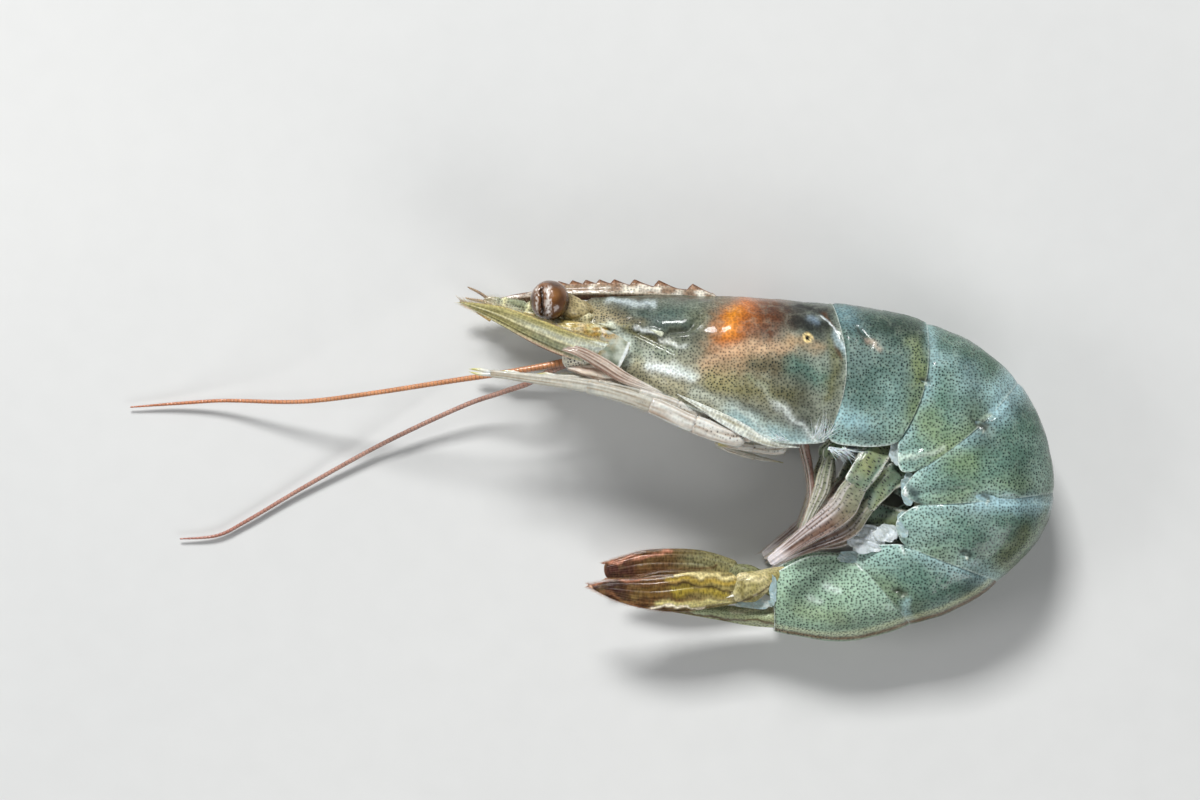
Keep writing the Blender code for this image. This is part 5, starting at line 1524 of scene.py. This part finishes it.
def legPart(path, start, end, widths, flatness, number, last, rust=0.0):
    # one flat segment of a leg between two joints, a little wider where it ends
    overlap = 0.06
    places = [max(start - overlap, 0), start + 0.2 * (end - start), start + 0.5 * (end - start),
              start + 0.82 * (end - start), min(end + overlap, len(path) - 1)]
    points = [along(path, place) for place in places]
    a, b = widths
    spread = [0.94 * a, 0.94 * (0.8 * a + 0.2 * b), 0.99 * (0.5 * a + 0.5 * b), 1.03 * b, 1.0 * b]
    if last:
        spread[-1] = 0.0 if b < 0.1 else 0.7 * b

    def relief(t, angle):
        c = math.cos(angle)
        ridge = 0.09 * bump(c, 0.62, 0.12) + 0.07 * bump(c, -0.72, 0.1) + 0.05 * bump(c, -0.2, 0.08)
        cuff = 0.0 if last else 0.04 * b * bump(t, 0.94, 0.03)
        return ridge + cuff - 0.1 * bump(c, 0.2, 0.2) * bump(t, 0.5, 0.4) + 0.05 * rough(t * 9, c * 2,
                                                                                         number, 1.0, 7.0)

    def tint(t, angle):
        c = math.cos(angle)
        streak = clamp(0.3 + 1.2 * rough(t * 1.6, 8 * c, number, 0.9, 2.0))
        colour = legShape["cream"].lerp(legShape["blush"], streak)
        # painted highlights along the raised ridge and the edges
        colour = colour.lerp(hue(236, 236, 230), 0.7 * max(bump(c, 0.62, 0.12), bump(abs(c), 1.0, 0.07)))
        colour = colour.lerp(hue(112, 98, 76),
                             0.55 * bump(c, 0.3, 0.05) * ease(rough(t * 5, c, number, 0.5, 4.0), -0.3, 0.2))
        colour = colour.lerp(hue(176, 150, 122), 0.35 * max(bump(t, 0.95, 0.03), bump(t, 0.03, 0.03)))
        colour = colour.lerp(legShape["rust"], rust * (0.75 - 0.5 * bump(c, 0.5, 0.25)))
        colour = colour.lerp(hue(138, 134, 112), 0.4 * (number > 2) * (1 - rust))
        if last:
            colour = colour.lerp(legShape["tip"], 0.7 * ease(t, 0.6, 1.0) * (1 - rust))
        return colour, (0.9 if number == 1 else 0.25) * bump(c, 0.0, 0.45)

    return sweep("segment", points, spread, [flatness * s for s in spread],
                 {"rings": 44, "sides": 26, "blunt": (0.9, 0.7)}, relief, tint)


def makeLeg(name, sideName, side, v):
    path = placed(legs[name], side)
    last, sizes, flatness = len(path) - 1, v["sizes"][name], v["flatness"][name]
    pieces, hairs = [], []
    for k in range(last):
        ends = k == last - 1 and name not in v["clawed"]
        pieces.append(legPart(path, k, k + 1, (sizes[k], sizes[k + 1]), flatness, k, ends,
                              float(name == "leg_5")))
    if name == "leg_4":
        folded = placed(foldedEnd, side)
        pieces.append(legPart(folded, 0, 2, (0.44, 0.42), 1.0, 3, False))
        pieces.append(legPart(folded, 2, 3, (0.4, 0.04), 0.9, 4, True))
    if name in v["clawed"]:
        end = path[-1]
        ahead = (path[-1] - path[-2]).normalized()
        for spread in (-v["fingerSpread"], v["fingerSpread"]):
            root = end - 0.5 * ahead + Vector((0, 0.6 * spread, 0))
            middle = root + 0.5 * v["fingerLength"] * ahead + Vector((0, 0.9 * spread, 0))
            point = root + v["fingerLength"] * ahead + Vector((0, 0.25 * spread, 0))
            pieces.append(sweep("finger", [root, middle, point], [0.3, 0.26, 0.0], [0.26, 0.2, 0.0],
                                {"rings": 36, "sides": 16}, None,
                                lambda t, a: (v["cream"].lerp(v["tip"], ease(t, 0.2, 0.9)), 0.1)))
    bristle = 150 if name == "maxilliped" else 46
    hairs += fringe(path, sizes, (0, 0, 1), side, (0.25, 0.98), bristle, 0.8, 0.45, len(name) + 3 * side)
    hairs += fringe(path, sizes, (0, 0, 1), -side, (0.3, 0.98), bristle, 0.7, 0.45, 2 * len(name) + side)
    label = name.replace("_", "") + sideName.capitalize()
    hairPiece(label + "Hairs", hairs, 0.025, hue(206, 196, 172))
    return dress(joined(label, pieces), limbLook, [f"{name}_{sideName}"])


for name in legs:
    for sideName, side in sides:
        makeLeg(name, sideName, side, legShape)
print("legs made")


# Swimmerets

swimmerets = [  # root, knee, bend, tip, half width of the outer leaf
    ((40.0, -1.2, 3.4), (34.2, -8.0, 4.8), (32.9, -13.4, 4.8), (30.2, -19.4, 4.6), 1.25),
    ((43.8, -2.8, 3.6), (39.9, -9.2, 7.6), (35.3, -16.4, 8.5), (24.9, -24.0, 8.5), 2.1),
    ((48.4, -7.4, 3.6), (42.2, -12.2, 6.4), (36.2, -18.9, 6.6), (26.6, -23.4, 6.4), 1.9),
    ((50.2, -18.2, 3.6), (40.6, -17.0, 3.8), (35.8, -20.2, 4.1), (28.4, -22.2, 4.1), 1.7),
    ((44.6, -24.2, 2.6), (39.0, -19.6, 1.5), (35.4, -20.8, 1.7), (30.0, -21.4, 1.7), 1.2)]
swimmeretShape = {"stemWidths": [1.4, 1.75, 1.9, 1.6], "stemDepths": [0.8, 0.7, 0.6, 0.45],
                  "innerShare": 0.62, "innerShift": Vector((0.9, -0.3, -0.85)), "grey": hue(108, 130, 114),
                  "moss": hue(138, 148, 106), "pale": hue(232, 236, 226), "brown": hue(122, 98, 86),
                  "dusk": hue(92, 64, 50), "glint": hue(208, 202, 202)}


def makeSwimmeret(number, sideName, side, v):
    *joints, leafWidth = swimmerets[number]
    root, knee, bend, tip = placed(joints, side)
    shift = Vector((v["innerShift"].x, v["innerShift"].y, side * v["innerShift"].z))

    def stemRelief(t, a):
        keel = 0.2 * bump(math.cos(a), 0.88, 0.1) + 0.2 * bump(math.cos(a), -0.88, 0.1)
        return keel + jointed(t, (0.12,), 0.2, 0.1) + lump(t, a, 5, number, 0.3) - 0.1 * bump(t, 0.97, 0.03)

    def stemTint(t, a):
        c = math.cos(a)
        colour = v["grey"].lerp(v["moss"], clamp(0.4 + 1.1 * rough(t * 4, c, number, 0.8, 5.0)))
        # painted highlights along the edges of the stem
        colour = colour.lerp(v["pale"], 0.95 * max(bump(c, 0.92, 0.12), bump(c, -0.92, 0.12)))
        shade = clamp(1.5 * rough(t * 3, 1.6 * c, number, 0.8, 15.0))
        return colour.lerp(hue(64, 74, 56), 0.75 * shade), 1.0

    def leafRelief(t, a):
        c = math.cos(a)
        ribs = 0.16 * bump(c, 0.12, 0.06) + 0.12 * bump(c, 0.72, 0.06) + 0.07 * bump(c, -0.5, 0.08)
        return ribs + 0.04 * math.cos(16 * c) * ease(t, 0.2, 0.4) + 0.12 * rough(t * 5, c, number, 1.0, 3.0)

    def leafTint(t, a):
        c = math.cos(a)
        colour = v["brown"].lerp(v["dusk"], clamp(0.4 + 1.1 * rough(t * 1.6, 5 * c, number, 1.0, 6.0)))
        if number == 0:
            colour = hue(122, 128, 100).lerp(hue(160, 162, 140),
                                             clamp(0.5 + 1.2 * rough(t * 2, 5 * c, number, 1.0, 6.0)))
            colour = colour.lerp(hue(206, 198, 120), 0.8 * bump(abs(c), 0.95, 0.08))
        colour = colour.lerp(hue(128, 136, 112), 0.85 * ease(t, 0.5, 0.12))
        colour = colour.lerp(v["glint"], 0.6 * clamp(2.2 * rough(t * 1.2, 9 * c, number, 1.0, 14.0)))
        line = max(bump(c, 0.12, 0.06), bump(c, 0.74, 0.07), 0.8 * bump(abs(c), 0.98, 0.04))
        colour = colour.lerp(v["glint"], 0.85 * line * ease(t, 0.12, 0.45))
        return colour.lerp(v["glint"], 0.8 * ease(t, 0.78, 0.92) * (number in (1, 2))), 0.8 * ease(t, 0.85,
                                                                                                   0.6)

    stemEnd = knee.lerp(bend, 0.55) if number else knee.lerp(bend, 0.1)
    stem = sweep("stem", [root, root.lerp(knee, 0.55) + Vector((0, -0.4, 0)), knee, stemEnd],
                 [w * leafWidth / 2 for w in v["stemWidths"]], v["stemDepths"],
                 {"rings": 90, "sides": 48, "power": 0.72},
                 stemRelief, stemTint)
    outerPath = [knee.lerp(bend, 0.3 if number else 0.0), knee.lerp(bend, 0.65), bend, bend.lerp(tip, 0.5),
                 tip]
    outerWidths = [0.7 * leafWidth, 0.92 * leafWidth, 0.98 * leafWidth, 0.66 * leafWidth, 0.4 * leafWidth]
    outer = sweep("outer", outerPath, outerWidths, [0.35, 0.3, 0.28, 0.26, 0.2],
                  {"rings": 110, "sides": 48, "power": 0.85}, leafRelief, leafTint)
    innerTip = knee.lerp(tip, v["innerShare"]) + shift
    innerPath = [knee, knee.lerp(innerTip, 0.35) + 0.8 * shift, knee.lerp(innerTip, 0.7) + 0.6 * shift,
                 innerTip]
    innerWidths = [0.4, 0.6 * leafWidth, 0.6 * leafWidth, 0.0]
    inner = sweep("inner", innerPath, innerWidths, [0.3, 0.26, 0.24, 0.0],
                  {"rings": 70, "sides": 32, "power": 0.85},
                  leafRelief, leafTint)
    hairs = []
    for k, edge in enumerate((1, -1)):
        hairs += fringe(outerPath, outerWidths, (0, 0, 1), edge, (0.35, 0.99), 110, 0.9, 0.75,
                        31 * number + k)
        hairs += fringe(innerPath, innerWidths, (0, 0, 1), edge, (0.3, 0.99), 50, 0.9, 0.7, 37 * number + k)
    label = f"swimmeret{number + 1}" + sideName.capitalize()
    hairPiece(label + "Hairs", hairs, 0.024, hue(198, 176, 158))
    return dress(joined(label, [stem, outer, inner]), limbLook,
                 [f"swimmeret_{number + 1}_{sideName}"])


for number in range(len(swimmerets)):
    for sideName, side in sides:
        makeSwimmeret(number, sideName, side, swimmeretShape)
print("swimmerets made")


# Tail fan

telson = {"path": [(28.0, -32.8, 0), (23.0, -32.6, 0), (17.0, -31.9, 0), (7.4, -31.2, 0)],
          "widths": [2.9, 2.6, 1.7, 0.0], "depths": [1.5, 1.35, 1.0, 0.0], "thin": (0.05, -1, 0),
          "spines": ((15.6, 1.5), (13.2, 1.15), (11.2, 0.85)), "spineTint": hue(186, 134, 106)}
telsonMarks = marksOf([
    ((150, 160, 128), 0.9, 0.9, [(15.0, -31.6), (27.0, -32.0)], 0.7),
    ((206, 204, 176), 0.7, 0.1, [(20.0, -31.5), (27.0, -31.4)], 0.35),
    ((66, 44, 26), 0.95, 0.1, [(8.0, -31.5), (14.0, -32.2), (20.0, -33.0), (27.4, -33.2)], 0.24),
    ((140, 146, 118), 0.8, 0.9, [(20.0, -33.7), (28.0, -34.0)], 0.5)])


def telsonTint(x, y, z):
    base = hue(104, 78, 52).lerp(hue(136, 142, 108), ease(x, 9.0, 16.0))
    return tinted(base, telsonMarks, x, y, 0.8)


def makeTelson(v):
    path = placed(v["path"], 1, tailMiddle)

    def relief(t, a):
        across, through = math.cos(a), math.sin(a)
        top = ease(through, 0.1, 0.5)
        groove = -0.3 * bump(across, 0.0,
                             0.12) * top + 0.2 * (bump(across, 0.3, 0.12) + bump(across, -0.3, 0.12)) * top
        return groove * ease(t, 1.0, 0.9) + 0.06 * bump(abs(across), 0.95, 0.06)

    blade = sweep("blade", path, v["widths"], v["depths"], {"rings": 130, "sides": 96, "thin": v["thin"]},
                  relief)
    paint(blade, telsonTint)
    pieces = [blade]
    for x, half in v["spines"]:
        for side in (1, -1):
            ends = placed([(x, -31.4, half - 0.1), (x - 1.7, -31.3, half + 0.35)], side, tailMiddle)
            pieces.append(makeSpine(*ends, 0.16, v["spineTint"]))
    return dress(joined("telsonBlade", pieces), bladeLook, ["telson"])


fan = {"base": {"left": [(28.2, -26.0, 2.4), (25.0, -27.0, 3.7), (22.4, -28.0, 4.5), (19.4, -29.4, 4.4)],
                "right": [(27.6, -28.6, 2.4), (24.9, -27.9, 3.5), (22.2, -26.4, 2.9), (19.4, -26.4, 3.2)]},
       "baseWidths": {"left": [1.2, 1.6, 2.2, 1.0], "right": [1.4, 1.6, 1.5, 1.2]},
       "baseDepths": [1.0, 1.25, 1.15, 0.5], "knob": [(22.4, -26.4, 4.6), (20.4, -26.6, 5.0)],
       "tooth": [(20.8, -28.9, 4.9), (18.8, -29.6, 5.2)],
       "outer": {"left": [(20.8, -28.0, 4.6), (15.0, -28.3, 4.9), (8.0, -28.95, 5.0), (2.4, -28.4, 4.8),
                          (-1.9, -27.75, 4.6)],
                 "right": [(21.0, -26.4, 3.2), (15.0, -25.3, 3.5), (8.0, -25.1, 3.6), (3.6, -25.6, 3.4),
                           (0.6, -26.0, 3.2)]},
       "outerWidths": {"left": [2.1, 2.7, 2.4, 1.55, 0.0], "right": [1.8, 2.5, 2.4, 1.8, 1.15]},
       "outerDepths": [0.5, 0.42, 0.38, 0.34, 0.1],
       "inner": {"left": [(23.8, -28.9, 2.9), (15.0, -29.6, 2.7), (9.0, -29.8, 2.6), (3.6, -30.0, 2.5)],
                 "right": [(23.8, -28.6, 2.4), (15.0, -28.0, 1.6), (9.0, -27.8, 1.6), (2.6, -28.0, 1.6)]},
       "innerWidths": [0.9, 1.9, 1.9, 0.0], "innerDepths": [0.45, 0.36, 0.34, 0.0]}
fanMarks = {
    "base": marksOf([
        ((206, 194, 150), 0.8, 0.3, [(21.6, -26.5), (24.6, -26.4)], 0.5),
        ((108, 98, 54), 0.8, 0.5, [(20.6, -27.2), (21.6, -28.2), (21.2, -29.4)], 0.3),
        ((62, 46, 24), 0.9, 0.0, [(19.4, -30.0), (22.4, -29.9), (24.4, -28.8), (25.8, -27.6)], 0.2)]),
    "left": marksOf([
        ((56, 36, 32), 0.85, 0.3, [(1.6, -28.5), (6.6, -29.3)], 0.8),
        ((92, 62, 38), 0.7, 0.5, [(4.0, -28.0), (10.0, -27.7)], 0.5),
        # the cream ridge, with a painted highlight along it
        ((212, 198, 144), 0.9, 0.1, [(11.5, -26.2), (15.0, -25.95), (20.2, -26.4)], 0.34),
        ((156, 104, 78), 0.85, 0.0, [(-1.0, -27.4), (4.2, -26.9), (9.4, -26.3)], 0.24),
        ((176, 150, 66), 0.8, 0.3, [(10.0, -27.1), (16.0, -26.9), (20.0, -27.5)], 0.42),
        ((102, 78, 36), 0.6, 0.7, [(5.0, -29.0), (11.0, -28.7)], 0.8),
        ((142, 124, 46), 0.9, 0.9, [(11.0, -28.7), (15.0, -28.4), (18.4, -29.1)], 0.65),
        ((52, 36, 20), 0.95, 0.0, [(9.9, -28.0), (12.4, -27.8), (15.4, -27.75), (17.6, -28.3),
                                   (19.4, -28.9)], 0.17),
        ((84, 58, 34), 0.85, 0.1, [(6.0, -30.0), (11.5, -29.8), (18.5, -30.1)], 0.15),
        ((190, 182, 122), 0.8, 0.3, [(8.5, -30.5), (14.0, -30.4), (20.4, -30.3)], 0.36),
        ((230, 220, 196), 0.9, 0.0, [(6.6, -31.2), (11.0, -30.9), (16.0, -31.0)], 0.2),
        ((120, 82, 56), 0.8, 0.1, [(0.0, -28.6), (4.0, -30.2), (7.0, -31.2)], 0.25),
        ((232, 190, 160), 0.9, 0.0, [(-1.9, -27.75), (-1.2, -27.9)], 0.3)]),
    "right": marksOf([
        ((74, 46, 40), 0.85, 0.3, [(1.4, -26.0), (4.5, -25.3)], 1.0),
        ((102, 68, 42), 0.7, 0.6, [(6.0, -24.9), (10.0, -24.6)], 1.0),
        ((98, 76, 48), 0.6, 0.8, [(7.0, -24.4), (12.0, -24.3)], 1.5),
        ((126, 126, 94), 0.7, 1.0, [(13.6, -24.3), (22.0, -24.6)], 1.4),
        ((176, 120, 96), 0.8, 0.0, [(0.8, -24.9), (6.0, -23.6), (11.0, -22.8)], 0.28),
        ((196, 146, 122), 0.85, 0.0, [(0.5, -24.9), (0.5, -27.0)], 0.28),
        ((78, 52, 32), 0.8, 0.1, [(4.2, -26.5), (9.0, -25.8), (17.5, -25.4)], 0.18)])}


def makeUropod(sideName, side, v):
    basePath, outerPath, innerPath = (placed(v[part][sideName], side, tailMiddle)
                                      for part in ("base", "outer", "inner"))
    outerWidths, thin = v["outerWidths"][sideName], (0, 0, side)

    def relief(t, a):
        c = math.cos(a) * side
        lift = 0.13 * bump(c, 0.8, 0.1) + 0.08 * bump(c, 0.45, 0.09) + 0.07 * bump(c, -0.62, 0.07)
        lift -= 0.16 * bump(c, 0.15 - 0.5 * ease(t, 0.3, 0.0), 0.05)
        return lift * ease(t, 0.95, 0.7) + 0.035 * math.cos(c * 34) * ease(t, 0.2, 0.5)

    def bladeTint(x, y, z):
        # olive at the base through brown to mauve at the tip, in fine streaks along the blade
        streak = rough(0.16 * x, 1.9 * y, z, 1.0, 4.0) + 0.5 * rough(0.4 * x, 5.0 * y, z, 1.0, 9.0)
        base = hue(54, 29, 21).lerp(hue(72, 44, 22), ease(x, 2.0, 8.0)).lerp(hue(128, 118, 74),
                                                                             ease(x, 8.0, 20.0))
        base = base.lerp(hue(40, 26, 17), clamp(0.9 * streak)).lerp(hue(152, 116, 72),
                                                                    clamp(-0.7 * streak - 0.12))
        return tinted(base, fanMarks[sideName], x, y, 0.7)

    def baseTint(x, y, z):
        colour = hue(180, 170, 128).lerp(hue(136, 128, 78), clamp(0.5 + 1.1 * rough(x, y, z, 1.6, 5.0)))
        if side < 0:
            return hue(118, 120, 88), 1.0
        return tinted(colour, fanMarks["base"], x, y, 0.6)

    base = sweep("base", basePath, v["baseWidths"][sideName], v["baseDepths"],
                 {"rings": 90, "sides": 64, "thin": thin},
                 lambda t, a: lump(t, a, 5, side, 0.25))
    paint(base, baseTint)
    if side > 0:
        knob = sweep("knob", placed(v["knob"], side, tailMiddle), [0.75, 0.7], [0.7, 0.6],
                     {"rings": 30, "sides": 28, "blunt": (0.9, 1.0)}, None, lambda t,
                     a: (hue(196, 184, 140), 0.4))
        tooth = makeSpine(*placed(v["tooth"], side, tailMiddle), 0.4, hue(232, 228, 210))
        base = joined("base", [base, knob, tooth])
    outer = sweep("blade", outerPath, outerWidths, v["outerDepths"],
                  {"rings": 190, "sides": 110, "thin": thin, "power": 0.85, "blunt": (0.6, 0.5)}, relief)
    inner = sweep("uropod" + sideName.capitalize() + "Inner", innerPath, v["innerWidths"], v["innerDepths"],
                  {"rings": 130, "sides": 90, "thin": thin, "power": 0.85}, relief)
    paint(outer, bladeTint)
    paint(inner, bladeTint)
    hairs = []
    for k, edge in enumerate((1, -1)):
        hairs += fringe(outerPath, outerWidths, thin, edge, (0.3, 0.99), 190, 0.7, 0.6, 61 + k + side)
        hairs += fringe(innerPath, v["innerWidths"], thin, edge, (0.3, 0.99), 140, 0.7, 0.6, 71 + k + side)
    hairPiece("fanHairs" + sideName.capitalize(), hairs, 0.026, hue(168, 116, 90))
    dress(joined("uropod" + sideName.capitalize() + "Outer", [base, outer]), bladeLook,
          [f"uropod_{sideName}_outer"])
    dress(inner, bladeLook, [f"uropod_{sideName}_inner"])


makeTelson(telson)
for sideName, side in sides:
    makeUropod(sideName, side, fan)
print("tail fan made")


# Floor, light and camera

def makeFloor():
    look = Look(bpy.data.materials.new("pale floor"))
    place = look.place()
    grain = look.noise(place, 220, 4.0)
    wide = look.noise(place, 9, 2.0)
    tone = 0.94 + 0.06 * wide + 0.04 * grain
    look.finish({"Base Color": look.scaled(look.mix(wide, hue(203, 204, 203), hue(211, 211, 209)), tone),
                 "Roughness": 0.55 + 0.2 * grain})
    deselect()
    bpy.ops.mesh.primitive_plane_add(size=3.0, location=(0, 0, -0.1 * millimetre))
    floor = bpy.context.object
    floor.name = "floor"
    bpy.ops.object.transform_apply(location=True, rotation=True, scale=True)
    floor.data.materials.append(look.holder)


def areaLight(name, place, aim, size, power):
    deselect()
    bpy.ops.object.light_add(type="AREA", location=place)
    lamp = bpy.context.object
    lamp.name = name
    lamp.data.shape = "RECTANGLE"
    lamp.data.size, lamp.data.size_y = size
    lamp.data.energy = power
    lamp.rotation_euler = (Vector(aim) - Vector(place)).to_track_quat("-Z", "Y").to_euler()


makeFloor()
viewCentre = (Vector((0, 0, 9.5)) + planeShift) * millimetre
areaLight("window", (-0.2, 0.88, 0.78), viewCentre, (0.38, 0.24), 16.8)
areaLight("left", (-0.62, -0.05, 0.4), viewCentre, (0.3, 0.3), 1.7)
areaLight("front", (0.32, -0.48, 0.36), viewCentre, (0.4, 0.25), 1.6)
studio = {"zenith": 0.1, "horizon": 0.34, "colour": Vector((0.88, 0.92, 0.97))}
world = bpy.data.worlds.new("studio")
bpy.context.scene.world = world
bpy.context.scene.view_settings.view_transform = "Standard"
surround = Look(world, "Background")
height = surround.add("ShaderNodeSeparateXYZ", {},
                      {0: surround.add("ShaderNodeTexCoord", {}, {}, "Generated")})
surround.finish({"Color": studio["colour"],
                 "Strength": surround.spread(height.output("Z"), 0.0, 1.0,
                                             (studio["horizon"], studio["zenith"]))})

cameraView = {"height": 0.5, "sensor": 36.0, "widthSeen": 0.18}
bpy.ops.object.camera_add(location=viewCentre + Vector((0, 0, cameraView["height"])), rotation=(0, 0, 0))
camera = bpy.context.object
camera.data.sensor_width = cameraView["sensor"]
camera.data.lens = cameraView["sensor"] * cameraView["height"] / cameraView["widthSeen"]
camera.data.clip_start = 0.01
bpy.context.scene.camera = camera
print("stage, light and camera set")
